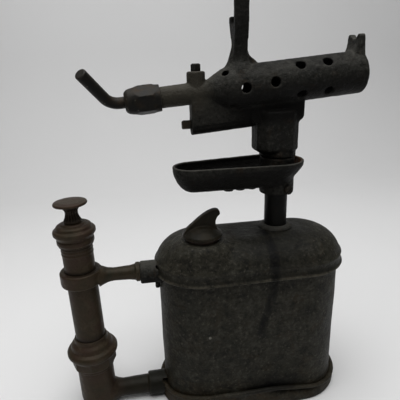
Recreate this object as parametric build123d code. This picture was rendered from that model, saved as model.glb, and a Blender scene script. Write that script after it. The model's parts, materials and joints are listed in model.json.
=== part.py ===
from build123d import *
import math
import os

# Hand-pumped gasoline blow torch of about one US quart.
# Millimetres. Origin: centre of the tank's base, on the floor. +Z is up,
# +X points where the flame goes, and the pump stands on the -X side.

# ---- driving dimensions: tank ----
TANK_LENGTH = 143.2
TANK_WIDTH = 67.1
TANK_WALL = 1.6
BASE_SKIRT_HEIGHT = 17.0
BASE_OVERHANG = 3.4
BASE_LIP_HEIGHT = 2.8
BASE_FLOOR = 2.4
RIM_Z = 111.0
RIM_OVERHANG = 3.0
RIM_BEAD = 0.8
RIM_BEAD_HEIGHT = 2.4
UPPER_BEAD_Z = 117.2
BODY_TOP_Z = 118.0
DOME_TOP_Z = 138.2
DOME_SHOULDER = 24.5

# ---- driving dimensions: standpipe and drip pan ----
POST_X = 21.2
POST_RADIUS = 8.57
POST_BORE = 5.5
POST_BOTTOM_Z = DOME_TOP_Z
POST_TOP_Z = 207.0
POST_FLANGE_RADIUS = 13.0
POST_FLANGE_HEIGHT = 4.2
WICK_RADIUS = 3.9
WICK_BOTTOM_Z = 4.0
WICK_TOP_Z = 204.0
FEED_TUBE_RADIUS = 5.4
FEED_TUBE_BORE = 4.1
FEED_TUBE_BOTTOM_Z = 10.0
PAN_YAW = 4.5
PAN_RIM_Z = 192.9
PAN_FLOOR_Z = 174.0
PAN_HEIGHT = PAN_RIM_Z - PAN_FLOOR_Z
PAN_WALL = 2.2
PAN_BIG_RADIUS = 21.6
PAN_BIG_CENTRE = -2.1
PAN_SMALL_RADIUS = 15.0
PAN_SMALL_CENTRE = -64.2
PAN_LEVELS = [0.0, 0.08, 0.2, 0.4, 0.62, 0.82, 1.0]
PAN_BIG_SHARES = [0.45, 0.57, 0.63, 0.72, 0.87, 0.98, 1.0]
PAN_SMALL_SHARES = [0.26, 0.48, 0.65, 0.82, 0.94, 0.99, 1.0]
HUB_RADIUS = 12.8
HUB_BOTTOM_Z = 167.7
HUB_TOP_Z = 195.4
RUNNING_CLEARANCE = 0.05
CLAMP_SCREW_AZIMUTH = -70.0
CLAMP_SCREW_Z = 172.0
CLAMP_SCREW_RADIUS = 2.4
CLAMP_HEAD_RADIUS = 3.4
CLAMP_HEAD_THICKNESS = 3.0

# ---- driving dimensions: burner, in its own frame (u along the flame) ----
BURNER_Z = 247.8
BURNER_TILT = 5.1
TUBE_RADIUS = 14.85
TUBE_BORE = 12.6
TUBE_MOUTH = 60.4
TUBE_START = -38.3
CONE_START = -52.4
CONE_RADIUS = 7.6
HOLE_DIAMETER = 6.6
CONE_HOLE_DIAMETER = 4.6
SIDE_HOLES = [(-28.0, 90.0), (-7.5, 84.0), (-26.0, -90.0), (-7.5, -84.0)]
DIAGONAL_RINGS = [12.0, 31.5]
CONE_HOLES = [(-40.0, 36.0), (-36.5, 142.0), (-40.0, -20.0), (-40.0, -80.0)]
VALVE_BODY_END = -84.6
VALVE_BODY_RADIUS = 7.2
STEM_RADIUS = 3.9
NEEDLE_RADIUS = 2.0
NEEDLE_START = -75.0
NEEDLE_TIP = -54.4
NOZZLE_START = -56.0
NOZZLE_END = -44.0
NOZZLE_RADIUS = 4.0
NUT_END = -108.9
NUT_CORNER_RADIUS = 10.3
NUT_THREAD_RADIUS = 6.4
NUT_THREAD_START = -94.0
PACKING_START = -96.5
PASSAGE_DROP = 21.8
PASSAGE_RADIUS = 6.4
BLOCK_LEFT_X = -42.8
BLOCK_HALF_DEPTH = 7.0
RISER_X = -38.4
TOP_BOSS_RADIUS = 6.3
TOP_BOSS_Z = 256.8
NECK_X = 18.8
NECK_LENGTH = 31.0
NECK_DEPTH = 27.0
NECK_CHAMFER = 6.5
NECK_BOTTOM_Z = 199.7
NECK_TOP_Z = 221.0
UNDER_BLOCK_X = (-3.0, 38.4)
UNDER_BLOCK_HALF_DEPTH = 8.4
COLLAR_BOTTOM_Z = 195.8
COLLAR_RADIUS = 13.3

# ---- driving dimensions: rests for a soldering iron ----
HOOK_X = -8.4
HOOK_WIDTH = 9.5
HOOK_STEM_HALF = 3.6
HOOK_STEM_FRONT = 6.2
HOOK_ARM = 4.8
HOOK_GAP = 4.3
HOOK_SEAT_Z = 288.6
HOOK_FAR_TOP_Z = 291.0
HOOK_CURL_Z = 302.0
HOOK_CURL_RADIUS = 5.4
FORK_X = 77.0
FORK_THICKNESS = 4.4
FORK_TOP_Z = 278.6
FORK_NOTCH_HALF = 2.5
FORK_NOTCH_Z = 275.9
FORK_FOOT_TOP_Z = 269.8

# ---- driving dimensions: pump ----
PUMP_X = -126.1
PUMP_Y = -4.0
PUMP_LEAN = 1.4
PUMP_FOOT_Z = 0.4
BARREL_RADIUS = 11.1
BARREL_BORE = 9.9
BARREL_BOTTOM_Z = 38.0
BARREL_TOP_Z = 149.0
CAP_BOTTOM_Z = 141.0
CAP_TOP_Z = 157.7
BARREL_RING_LEVELS = [134.4, 137.0, 139.4]
BARREL_RING_RELIEF = 0.35
PUMP_ROD_RADIUS = 3.0
PUMP_ROD_BOTTOM_Z = 42.5
PUMP_ROD_TOP_Z = 168.0
KNOB_RADIUS = 11.9
KNOB_TOP_Z = 173.4
LEATHER_TOP_Z = 51.5
LEATHER_THICKNESS = 1.6
BASE_BODY_RADIUS = 13.8
BASE_BODY_TOP_Z = 36.4
SPIGOT_RADIUS = 12.3
SPIGOT_TOP_Z = 47.0
UNION_TOP_Z = 64.0
UNION_FLAT_CORNER = 17.2
CHECK_CHAMBER_RADIUS = 6.0
CHECK_SEAT_Z = 22.0
CHECK_PLUG_Z = 1.0
CHECK_CHAMBER_BOTTOM_Z = 5.5
DISC_THICKNESS = 1.6
SPRING_RADIUS = 2.6
SPRING_WIRE = 0.4
SPRING_TURNS = 5
OUTLET_RADIUS = 2.5
LOWER_ARM_Z = 9.8
UPPER_ARM_Z = 113.8
RING_Z = 115.3
RING_RADIUS = 15.0
RING_HEIGHT = 10.8
LUG_X = -86.0
NUB_X = -73.2
NUB_RADIUS = 1.9
NUB_BOTTOM_Z = 98.8

# ---- driving dimensions: filler ----
FILLER_X = -38.8
FILLER_Y = -12.5
SEAT_RADIUS = 16.4
SEAT_FLARE_RADIUS = 20.5
SEAT_TOP_Z = 139.4
FILLER_BORE = 9.1
FILLER_NECK_RADIUS = 11.0
FILLER_NECK_BOTTOM_Z = 130.0
GASKET_THICKNESS = 3.0
GASKET_RADIUS = 12.2
FILLER_CAP_RADIUS = 15.0
FILLER_CAP_RIM = 3.2
FIN_THICKNESS = 4.6


def stadium(length, width):
    return SlotOverall(length, width)


def prism(length, width, low_z, high_z):
    return Pos(0, 0, low_z) * extrude(stadium(length, width), high_z - low_z)


def cylinder_z(x, y, radius, low_z, high_z):
    centre = (low_z + high_z) / 2
    return Pos(x, y, centre) * Cylinder(radius, high_z - low_z)


def cylinder_x(y, z, radius, low_x, high_x):
    centre = (low_x + high_x) / 2
    return Pos(centre, y, z) * Rot(0, 90, 0) * Cylinder(radius, high_x - low_x)


def box_between(low, high):
    size = [b - a for a, b in zip(low, high)]
    centre = [(a + b) / 2 for a, b in zip(low, high)]
    return Pos(*centre) * Box(*size)


def turned(points):
    """Solid of revolution about Z from (radius, z) points."""
    outline = Polyline(*[(r, 0, z) for r, z in points], close=True)
    return revolve(make_face(outline), Axis.Z)


def turned_at(x, y, points):
    return Pos(x, y, 0) * turned(points)


def turned_along_u(points):
    """Solid of revolution about the burner's own +u axis, from (u, radius) points."""
    outline = Polyline(*[(u, 0, r) for u, r in points], close=True)
    return revolve(make_face(outline), Axis.X)


def to_world(shape):
    """Place a solid from the burner's own frame into the torch's frame."""
    return Pos(POST_X, 0, BURNER_Z) * Rot(0, -BURNER_TILT, 0) * shape


# ---- tank ----
def body_prism(low_z, high_z, grow=0.0):
    return prism(TANK_LENGTH + 2 * grow, TANK_WIDTH + 2 * grow, low_z, high_z)


def base_outer():
    skirt = body_prism(0, BASE_SKIRT_HEIGHT, BASE_OVERHANG)
    skirt = fillet(skirt.edges().group_by(Axis.Z)[0], 0.6)
    lip = body_prism(BASE_SKIRT_HEIGHT - BASE_LIP_HEIGHT, BASE_SKIRT_HEIGHT, BASE_OVERHANG + RIM_BEAD)
    lip = fillet(lip.edges().filter_by(Plane.XY), 0.7)
    return skirt + lip


def tank_base():
    return base_outer() - body_prism(BASE_FLOOR, BASE_SKIRT_HEIGHT)


def tank_body():
    return body_prism(BASE_FLOOR, BODY_TOP_Z) - body_prism(BASE_FLOOR, BODY_TOP_Z, -TANK_WALL)


def dome_outer():
    dome = body_prism(RIM_Z, DOME_TOP_Z, RIM_OVERHANG)
    dome = fillet(dome.edges().group_by(Axis.Z)[-1], DOME_SHOULDER)
    for low_z in (RIM_Z, UPPER_BEAD_Z):
        bead = body_prism(low_z, low_z + RIM_BEAD_HEIGHT, RIM_OVERHANG + RIM_BEAD)
        dome += fillet(bead.edges().filter_by(Plane.XY), 0.7)
    return dome


def tank_top():
    inner = body_prism(RIM_Z, DOME_TOP_Z - TANK_WALL, RIM_OVERHANG - TANK_WALL)
    inner = fillet(inner.edges().group_by(Axis.Z)[-1], DOME_SHOULDER - TANK_WALL)
    inner &= body_prism(BODY_TOP_Z, DOME_TOP_Z, RIM_OVERHANG)
    top = dome_outer() - body_prism(RIM_Z, BODY_TOP_Z) - inner
    top -= cylinder_z(FILLER_X, FILLER_Y, FILLER_NECK_RADIUS, 120, 150)
    return top - cylinder_z(POST_X, 0, FEED_TUBE_RADIUS, 120, 150)


# ---- filler ----
def filler_seat():
    neck = cylinder_z(FILLER_X, FILLER_Y, FILLER_NECK_RADIUS, FILLER_NECK_BOTTOM_Z, SEAT_TOP_Z)
    flare_z = SEAT_TOP_Z - 8
    ring = turned_at(
        FILLER_X,
        FILLER_Y,
        [
            (0, flare_z),
            (SEAT_FLARE_RADIUS, flare_z),
            (SEAT_RADIUS + 1.2, SEAT_TOP_Z - 2.4),
            (SEAT_RADIUS, SEAT_TOP_Z),
            (0, SEAT_TOP_Z),
        ],
    )
    bore = cylinder_z(FILLER_X, FILLER_Y, FILLER_BORE, FILLER_NECK_BOTTOM_Z, SEAT_TOP_Z)
    return neck + (ring - dome_outer()) - bore


def filler_gasket():
    top_z = SEAT_TOP_Z + GASKET_THICKNESS
    outer = cylinder_z(FILLER_X, FILLER_Y, GASKET_RADIUS, SEAT_TOP_Z, top_z)
    hole = cylinder_z(FILLER_X, FILLER_Y, FILLER_BORE + 0.3, SEAT_TOP_Z, top_z)
    return outer - hole


def filler_fin(base_z):
    """Shark-fin wing for the fingers, rising toward +X."""
    back = Spline(
        (-14.4, 0, base_z - 1.4),
        (-11.2, 0, base_z + 3.4),
        (-6.2, 0, base_z + 7.7),
        (1.1, 0, base_z + 13.3),
        (8.8, 0, base_z + 16.6),
    )
    tip = Spline((8.8, 0, base_z + 16.6), (12.4, 0, base_z + 15.4), (12.9, 0, base_z + 12.4))
    front = Spline(
        (12.9, 0, base_z + 12.4),
        (9.7, 0, base_z + 6.4),
        (10.8, 0, base_z + 2.0),
        (13.8, 0, base_z - 1.4),
    )
    foot = Line((13.8, 0, base_z - 1.4), (-14.4, 0, base_z - 1.4))
    profile = make_face([back, tip, front, foot])
    fin = extrude(profile, FIN_THICKNESS / 2, both=True)
    return Pos(FILLER_X, FILLER_Y, 0) * fin


def filler_cap():
    low_z = SEAT_TOP_Z + GASKET_THICKNESS
    rim_z = low_z + FILLER_CAP_RIM
    plug_radius = FILLER_BORE - RUNNING_CLEARANCE
    cap = turned_at(
        FILLER_X,
        FILLER_Y,
        [
            (0, low_z - 8.5),
            (plug_radius - 1, low_z - 8.5),
            (plug_radius, low_z - 7.5),
            (plug_radius, low_z),
            (FILLER_CAP_RADIUS - 0.7, low_z),
            (FILLER_CAP_RADIUS, low_z + 0.8),
            (FILLER_CAP_RADIUS - 0.8, low_z + 2.2),
            (FILLER_CAP_RADIUS - 4.5, rim_z + 1.6),
            (FILLER_CAP_RADIUS - 9.0, rim_z + 4.0),
            (0, rim_z + 5.0),
        ],
    )
    return cap + filler_fin(rim_z)


# ---- standpipe, feed tube and wick ----
def post_flange():
    low_z = DOME_TOP_Z
    boss = turned_at(
        POST_X,
        0,
        [
            (POST_RADIUS, low_z),
            (POST_FLANGE_RADIUS, low_z),
            (POST_FLANGE_RADIUS, low_z + 1.8),
            (POST_FLANGE_RADIUS - 1.2, low_z + 3.2),
            (POST_RADIUS + 1.6, low_z + POST_FLANGE_HEIGHT),
            (POST_RADIUS, low_z + POST_FLANGE_HEIGHT),
        ],
    )
    return boss


def standpipe():
    outer = cylinder_z(POST_X, 0, POST_RADIUS, POST_BOTTOM_Z, POST_TOP_Z)
    return outer - cylinder_z(POST_X, 0, POST_BORE, POST_BOTTOM_Z, POST_TOP_Z)


def feed_tube():
    outer = cylinder_z(POST_X, 0, FEED_TUBE_RADIUS, FEED_TUBE_BOTTOM_Z, DOME_TOP_Z)
    return outer - cylinder_z(POST_X, 0, FEED_TUBE_BORE, FEED_TUBE_BOTTOM_Z, DOME_TOP_Z)


def wick():
    return cylinder_z(POST_X, 0, WICK_RADIUS, WICK_BOTTOM_Z, WICK_TOP_Z)


# ---- drip pan ----
def boat_outline(big_radius, small_radius):
    """Two circles and their common tangents; the big circle is beside the post."""
    lean = math.asin((big_radius - small_radius) / (PAN_BIG_CENTRE - PAN_SMALL_CENTRE))
    big = (PAN_BIG_CENTRE - big_radius * math.sin(lean), big_radius * math.cos(lean))
    small = (PAN_SMALL_CENTRE - small_radius * math.sin(lean), small_radius * math.cos(lean))
    outline = [
        Line(small, big),
        ThreePointArc(big, (PAN_BIG_CENTRE + big_radius, 0), (big[0], -big[1])),
        Line((big[0], -big[1]), (small[0], -small[1])),
        ThreePointArc((small[0], -small[1]), (PAN_SMALL_CENTRE - small_radius, 0), small),
    ]
    return make_face(outline)


def boat(shrink, lift):
    """Round-bottomed boat shape, made smaller all round by shrink and with its floor raised by lift."""
    sections = []
    for level, big, small in zip(PAN_LEVELS, PAN_BIG_SHARES, PAN_SMALL_SHARES):
        outline = boat_outline(PAN_BIG_RADIUS * big - shrink, PAN_SMALL_RADIUS * small - shrink)
        height = PAN_FLOOR_Z + lift + level * (PAN_HEIGHT - lift)
        sections.append(Pos(0, 0, height) * outline)
    return loft(sections, ruled=True)


def drip_pan():
    shell = boat(0, 0) - boat(PAN_WALL, PAN_WALL)
    ribs = [Pos(x, 0, PAN_FLOOR_Z) * Cylinder(3.6, 4.4) for x in (-38.0, -29.0, -20.0)]
    hub = cylinder_z(0, 0, HUB_RADIUS, HUB_BOTTOM_Z, HUB_TOP_Z)
    hub = fillet(hub.edges().filter_by(GeomType.CIRCLE), 1.0)
    bore = cylinder_z(0, 0, POST_RADIUS + RUNNING_CLEARANCE, HUB_BOTTOM_Z - 1, HUB_TOP_Z + 1)
    hole = cylinder_z(0, 0, CLAMP_SCREW_RADIUS, 0, HUB_RADIUS + 1)
    hole += cylinder_z(0, 0, CLAMP_HEAD_RADIUS + 0.3, HUB_RADIUS, HUB_RADIUS + 8)
    hole = Pos(0, 0, CLAMP_SCREW_Z) * Rot(0, 0, CLAMP_SCREW_AZIMUTH - PAN_YAW) * Rot(0, 90, 0) * hole
    pan = shell + hub
    for rib in ribs:
        pan += rib
    pan = pan - bore - hole
    return Pos(POST_X, 0, 0) * Rot(0, 0, PAN_YAW) * pan


def pan_clamp_screw():
    tip = POST_RADIUS + 2 * RUNNING_CLEARANCE
    under_head = HUB_RADIUS
    head_end = HUB_RADIUS + CLAMP_HEAD_THICKNESS
    screw = turned(
        [
            (0, tip),
            (CLAMP_SCREW_RADIUS - 0.6, tip),
            (CLAMP_SCREW_RADIUS, tip + 0.6),
            (CLAMP_SCREW_RADIUS, under_head),
            (CLAMP_HEAD_RADIUS, under_head),
            (CLAMP_HEAD_RADIUS, head_end - 0.8),
            (CLAMP_HEAD_RADIUS - 0.8, head_end),
            (0, head_end),
        ]
    )
    screw -= Pos(0, 0, head_end) * Box(1.1, 3 * CLAMP_HEAD_RADIUS, 2.6)
    placed = Rot(0, 0, CLAMP_SCREW_AZIMUTH) * Rot(0, 90, 0) * Rot(0, 0, 35) * screw
    return Pos(POST_X, 0, CLAMP_SCREW_Z) * placed


# ---- burner ----
def tube_outer():
    """Outside of the flame tube and its cone, with the rolled lip at the mouth."""
    return to_world(
        turned_along_u(
            [
                (CONE_START, 0),
                (CONE_START, CONE_RADIUS),
                (TUBE_START - 1.6, TUBE_RADIUS - 0.7),
                (TUBE_START + 1.6, TUBE_RADIUS),
                (TUBE_MOUTH - 1.2, TUBE_RADIUS),
                (TUBE_MOUTH, TUBE_RADIUS - 1.0),
                (TUBE_MOUTH, 0),
            ]
        )
    )


def radial_hole(u, angle, diameter=HOLE_DIAMETER):
    drill = Cylinder(diameter / 2, 2 * TUBE_RADIUS, align=(Align.CENTER, Align.CENTER, Align.MIN))
    return Pos(u, 0, 0) * Rot(angle, 0, 0) * drill


def flame_tube():
    cavity = turned_along_u(
        [
            (CONE_START + 3.0, 0),
            (CONE_START + 3.0, CONE_RADIUS - 1.4),
            (TUBE_START, TUBE_BORE),
            (TUBE_MOUTH, TUBE_BORE),
            (TUBE_MOUTH, 0),
        ]
    )
    for u, angle in SIDE_HOLES:
        cavity += radial_hole(u, angle)
    for u, angle in CONE_HOLES:
        cavity += radial_hole(u, angle, CONE_HOLE_DIAMETER)
    for u in DIAGONAL_RINGS:
        for angle in (45, 129, -45, -129):
            cavity += radial_hole(u, angle)
    cavity += Pos(CONE_START, 0, 0) * Rot(0, 90, 0) * Cylinder(NOZZLE_RADIUS, 8)
    return tube_outer() - to_world(cavity)


def valve_bores():
    """Stem bore, nozzle chamber and the drilled fuel passages of the casting."""
    stem_bore = turned_along_u(
        [
            (VALVE_BODY_END - 20, 0),
            (VALVE_BODY_END - 20, STEM_RADIUS + RUNNING_CLEARANCE),
            (-70.0, STEM_RADIUS + RUNNING_CLEARANCE),
            (-68.0, NEEDLE_RADIUS + 1.0),
            (NOZZLE_START, NEEDLE_RADIUS + 1.0),
            (NOZZLE_START, NOZZLE_RADIUS),
            (CONE_START + 1, NOZZLE_RADIUS),
            (CONE_START + 1, 0),
        ]
    )
    passage_start = BLOCK_LEFT_X - POST_X - 2
    passage_length = 2 - passage_start
    passage = Rot(0, 90, 0) * Cylinder(2.6, passage_length)
    passage = Pos(passage_start + passage_length / 2, 0, -PASSAGE_DROP) * passage
    riser = cylinder_z(RISER_X, 0, 2.6, BURNER_Z - PASSAGE_DROP - 6, TOP_BOSS_Z + 2)
    neck_bore = cylinder_z(POST_X, 0, WICK_RADIUS + 0.2, COLLAR_BOTTOM_Z, BURNER_Z - PASSAGE_DROP)
    socket = cylinder_z(POST_X, 0, POST_RADIUS, COLLAR_BOTTOM_Z - 1, POST_TOP_Z)
    plug_hole = cylinder_x(0, passage_z(BLOCK_LEFT_X) + 1.0, 2.6, BLOCK_LEFT_X - 1, BLOCK_LEFT_X + 5)
    return to_world(stem_bore + passage) + plug_hole + riser + neck_bore + socket


def neck_block():
    block = box_between(
        (NECK_X - NECK_LENGTH / 2, -NECK_DEPTH / 2, NECK_BOTTOM_Z),
        (NECK_X + NECK_LENGTH / 2, NECK_DEPTH / 2, NECK_TOP_Z + 8),
    )
    block = chamfer(block.edges().filter_by(Axis.Z), NECK_CHAMFER)
    return fillet(block.edges().group_by(Axis.Z)[0], 2.6)


def under_block():
    low_x, high_x = UNDER_BLOCK_X
    depth = UNDER_BLOCK_HALF_DEPTH
    block = box_between((low_x, -depth, NECK_TOP_Z), (high_x, depth, BURNER_Z))
    block = chamfer(block.edges().filter_by(Axis.Y).group_by(Axis.Z)[0], 3.6)
    return fillet(block.edges().filter_by(Axis.Z), 3.0)


def passage_z(x):
    """Height of the lower fuel passage's centre line at a given x."""
    return BURNER_Z + (x - POST_X) * math.tan(math.radians(BURNER_TILT)) - PASSAGE_DROP


def burner_casting():
    valve_body = to_world(
        turned_along_u(
            [
                (VALVE_BODY_END, 0),
                (VALVE_BODY_END, VALVE_BODY_RADIUS),
                (-70.0, VALVE_BODY_RADIUS + 0.1),
                (CONE_START, CONE_RADIUS),
                (CONE_START, 0),
            ]
        )
    )
    spigot = to_world(
        turned_along_u(
            [
                (NUT_THREAD_START, 0),
                (NUT_THREAD_START, NUT_THREAD_RADIUS),
                (VALVE_BODY_END, NUT_THREAD_RADIUS),
                (VALVE_BODY_END, 0),
            ]
        )
    )
    web_corner = (BLOCK_LEFT_X, -BLOCK_HALF_DEPTH, passage_z(BLOCK_LEFT_X))
    web = box_between(web_corner, (8, BLOCK_HALF_DEPTH, BURNER_Z))
    web = fillet(web.edges().filter_by(Axis.Z), 1.6)
    web -= to_world(box_between((-90, -20, -PASSAGE_DROP - 30), (20, 20, -PASSAGE_DROP)))
    web -= to_world(box_between((-90, -20, 0), (20, 20, 30)))
    passage = to_world(Pos(-36, 0, -PASSAGE_DROP) * Rot(0, 90, 0) * Cylinder(PASSAGE_RADIUS, 64))
    passage &= box_between((BLOCK_LEFT_X, -20, 150), (8, 20, 260))
    boss = cylinder_z(RISER_X, 0, TOP_BOSS_RADIUS, BURNER_Z - 8, TOP_BOSS_Z)
    boss = fillet(boss.edges().group_by(Axis.Z)[-1], 1.0)
    collar = cylinder_z(POST_X, 0, COLLAR_RADIUS, COLLAR_BOTTOM_Z, NECK_BOTTOM_Z + 1)
    casting = valve_body + web + passage + boss + under_block() + neck_block() + collar
    casting = casting - tube_outer() + spigot
    return casting - valve_bores()


def square_plug(head, thread_radius, thread_length, head_height):
    stem = Cylinder(thread_radius, thread_length, align=(Align.CENTER, Align.CENTER, Align.MAX))
    top = Box(head, head, head_height, align=(Align.CENTER, Align.CENTER, Align.MIN))
    top = chamfer(top.edges().group_by(Axis.Z)[-1], 0.7)
    return stem + top


def top_plug():
    return Pos(RISER_X, 0, TOP_BOSS_Z) * Rot(0, 0, 28) * square_plug(4.9, 2.4, 4.5, 5.0)


def side_plug():
    plug = Rot(0, -90, 0) * Rot(0, 0, 12) * square_plug(5.8, 2.6, 5.0, 6.4)
    return Pos(BLOCK_LEFT_X, 0, passage_z(BLOCK_LEFT_X) + 1.0) * plug


def jet_nozzle():
    return to_world(
        turned_along_u(
            [
                (NOZZLE_START, NEEDLE_RADIUS + 0.4),
                (NOZZLE_START, NOZZLE_RADIUS),
                (NOZZLE_END - 3.0, NOZZLE_RADIUS),
                (NOZZLE_END, 1.6),
                (NOZZLE_END, 0.5),
                (NEEDLE_TIP + 1.5, 0.5),
            ]
        )
    )


# ---- control valve ----
def packing_nut():
    outside = turned_along_u(
        [
            (NUT_END, 0),
            (NUT_END, 5.4),
            (NUT_END + 0.8, 6.9),
            (NUT_END + 2.4, 8.1),
            (-101.5, 9.1),
            (-98.6, NUT_CORNER_RADIUS),
            (-90.0, NUT_CORNER_RADIUS),
            (-88.2, 9.3),
            (VALVE_BODY_END, 8.9),
            (VALVE_BODY_END, 0),
        ]
    )
    hexagon = extrude(RegularPolygon(NUT_CORNER_RADIUS, 6), 60)
    hexagon = Pos(NUT_END - 10, 0, 0) * Rot(0, 90, 0) * Rot(0, 0, 12) * hexagon
    thread = Rot(0, 90, 0) * Cylinder(NUT_THREAD_RADIUS, VALVE_BODY_END - PACKING_START)
    thread = Pos((VALVE_BODY_END + PACKING_START) / 2, 0, 0) * thread
    bore = Pos(NUT_END, 0, 0) * Rot(0, 90, 0) * Cylinder(STEM_RADIUS + RUNNING_CLEARANCE, 60)
    return to_world((outside & hexagon) - thread - bore)


def gland_packing():
    ring_length = NUT_THREAD_START - PACKING_START
    ring = Cylinder(NUT_THREAD_RADIUS, ring_length) - Cylinder(STEM_RADIUS + RUNNING_CLEARANCE, ring_length)
    return to_world(Pos((PACKING_START + NUT_THREAD_START) / 2, 0, 0) * Rot(0, 90, 0) * ring)


def valve_needle():
    """Tapered needle that shuts the jet; it travels along the burner's axis."""
    return to_world(
        turned_along_u(
            [
                (NEEDLE_START, 0),
                (NEEDLE_START, NEEDLE_RADIUS),
                (NOZZLE_START - 1.0, NEEDLE_RADIUS),
                (NEEDLE_TIP, 0.3),
                (NEEDLE_TIP, 0),
            ]
        )
    )


def valve_rod():
    """Threaded stem and bent hand rod, bent from one round bar."""
    path = FilletPolyline(
        (NEEDLE_START, 0, 0),
        (-118.4, 0, 0),
        (-132.3, -18.0, 21.7),
        radius=11.0,
    )
    start = Plane(origin=path @ 0, z_dir=path % 0)
    rod = sweep(start * Circle(STEM_RADIUS), path)
    end_face = rod.faces().sort_by(Axis.Z)[-1]
    return to_world(chamfer(end_face.edges(), 0.6))


# ---- rests for a soldering iron ----
def iron_hook():
    arm_outer = HOOK_GAP + HOOK_ARM
    curl_centre = HOOK_CURL_RADIUS - HOOK_GAP
    low_x = HOOK_X - HOOK_WIDTH / 2
    side = Polyline(
        (low_x, -HOOK_STEM_FRONT, BURNER_Z),
        (low_x, -HOOK_STEM_FRONT, HOOK_SEAT_Z - 28),
        (low_x, -arm_outer, HOOK_SEAT_Z),
        (low_x, arm_outer, HOOK_SEAT_Z),
        (low_x, HOOK_STEM_HALF, HOOK_SEAT_Z - 14),
        (low_x, HOOK_STEM_HALF, BURNER_Z),
        close=True,
    )
    stem = extrude(make_face(side), HOOK_WIDTH, dir=(1, 0, 0))
    root_z = BURNER_Z + TUBE_RADIUS - 8
    stem += turned_at(
        HOOK_X,
        0,
        [
            (0, root_z),
            (11.5, root_z + 1),
            (7.6, root_z + 8),
            (5.4, root_z + 16),
            (0, root_z + 24),
        ],
    )
    near_arm = box_between(
        (HOOK_X - HOOK_WIDTH / 2, -arm_outer, HOOK_SEAT_Z),
        (HOOK_X + HOOK_WIDTH / 2, -HOOK_GAP, HOOK_CURL_Z),
    )
    far_arm = box_between(
        (HOOK_X - HOOK_WIDTH / 2, HOOK_GAP, HOOK_SEAT_Z),
        (HOOK_X + HOOK_WIDTH / 2, arm_outer, HOOK_FAR_TOP_Z),
    )
    curl = Cylinder(HOOK_CURL_RADIUS + HOOK_ARM, HOOK_WIDTH) - Cylinder(HOOK_CURL_RADIUS, HOOK_WIDTH)
    curl = Pos(HOOK_X, curl_centre, HOOK_CURL_Z) * Rot(0, 90, 0) * curl
    curl &= box_between((-50, -50, HOOK_CURL_Z), (50, 50, HOOK_CURL_Z + 40))
    gap = Pos(HOOK_X, 0, HOOK_SEAT_Z) * Rot(0, 90, 0) * Cylinder(HOOK_GAP, HOOK_WIDTH + 2)
    hook = stem + near_arm + far_arm + curl - gap
    gusset_outline = Polyline(
        (HOOK_X, 0, BURNER_Z), (4.0, 0, BURNER_Z), (3.6, 0, 262.6), (-1.4, 0, 266.0), (-3.8, 0, 272.0),
        (HOOK_X, 0, 272.0), close=True,
    )
    gusset = extrude(make_face(gusset_outline), HOOK_STEM_HALF, both=True)
    return hook + gusset - tube_outer()


def iron_fork():
    half = FORK_THICKNESS / 2
    plate = Polyline(
        (0, -12.4, BURNER_Z),
        (0, -12.4, FORK_FOOT_TOP_Z - 10.0),
        (0, -10.2, FORK_FOOT_TOP_Z - 5.0),
        (0, -8.8, FORK_FOOT_TOP_Z),
        (0, -8.2, FORK_TOP_Z - 2.0),
        (0, -7.0, FORK_TOP_Z - 0.4),
        (0, -6.0, FORK_TOP_Z),
        (0, -5.0, FORK_TOP_Z - 0.4),
        (0, -FORK_NOTCH_HALF, FORK_NOTCH_Z),
        (0, FORK_NOTCH_HALF, FORK_NOTCH_Z),
        (0, 5.0, FORK_TOP_Z - 0.4),
        (0, 6.0, FORK_TOP_Z),
        (0, 7.0, FORK_TOP_Z - 0.4),
        (0, 8.2, FORK_TOP_Z - 2.0),
        (0, 8.8, FORK_FOOT_TOP_Z),
        (0, 10.2, FORK_FOOT_TOP_Z - 5.0),
        (0, 12.4, FORK_FOOT_TOP_Z - 10.0),
        (0, 12.4, BURNER_Z),
        close=True,
    )
    fork = extrude(make_face(plate), half, both=True)
    foot = Polyline(
        (-9.0, 0, BURNER_Z),
        (-9.0, 0, FORK_FOOT_TOP_Z - 7.5),
        (-5.4, 0, FORK_FOOT_TOP_Z - 4.5),
        (-3.6, 0, FORK_FOOT_TOP_Z - 1.0),
        (-half, 0, FORK_FOOT_TOP_Z + 3.0),
        (half, 0, FORK_FOOT_TOP_Z + 3.0),
        (half + 0.8, 0, FORK_FOOT_TOP_Z - 2.0),
        (half + 2.0, 0, BURNER_Z),
        close=True,
    )
    foot = extrude(make_face(foot), 8.2, both=True)
    fork = Pos(FORK_X, 0, 0) * (fork + foot) - tube_outer()
    return fork - to_world(box_between((40, -20, -20), (80, 20, 4)))


# ---- pump, built upright in its own frame and then leaned ----
def on_pump(shape):
    return Pos(PUMP_X, PUMP_Y, 0) * Rot(0, -PUMP_LEAN, 0) * shape


def pump_axis_x(z):
    return PUMP_X - z * math.tan(math.radians(PUMP_LEAN))


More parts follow.
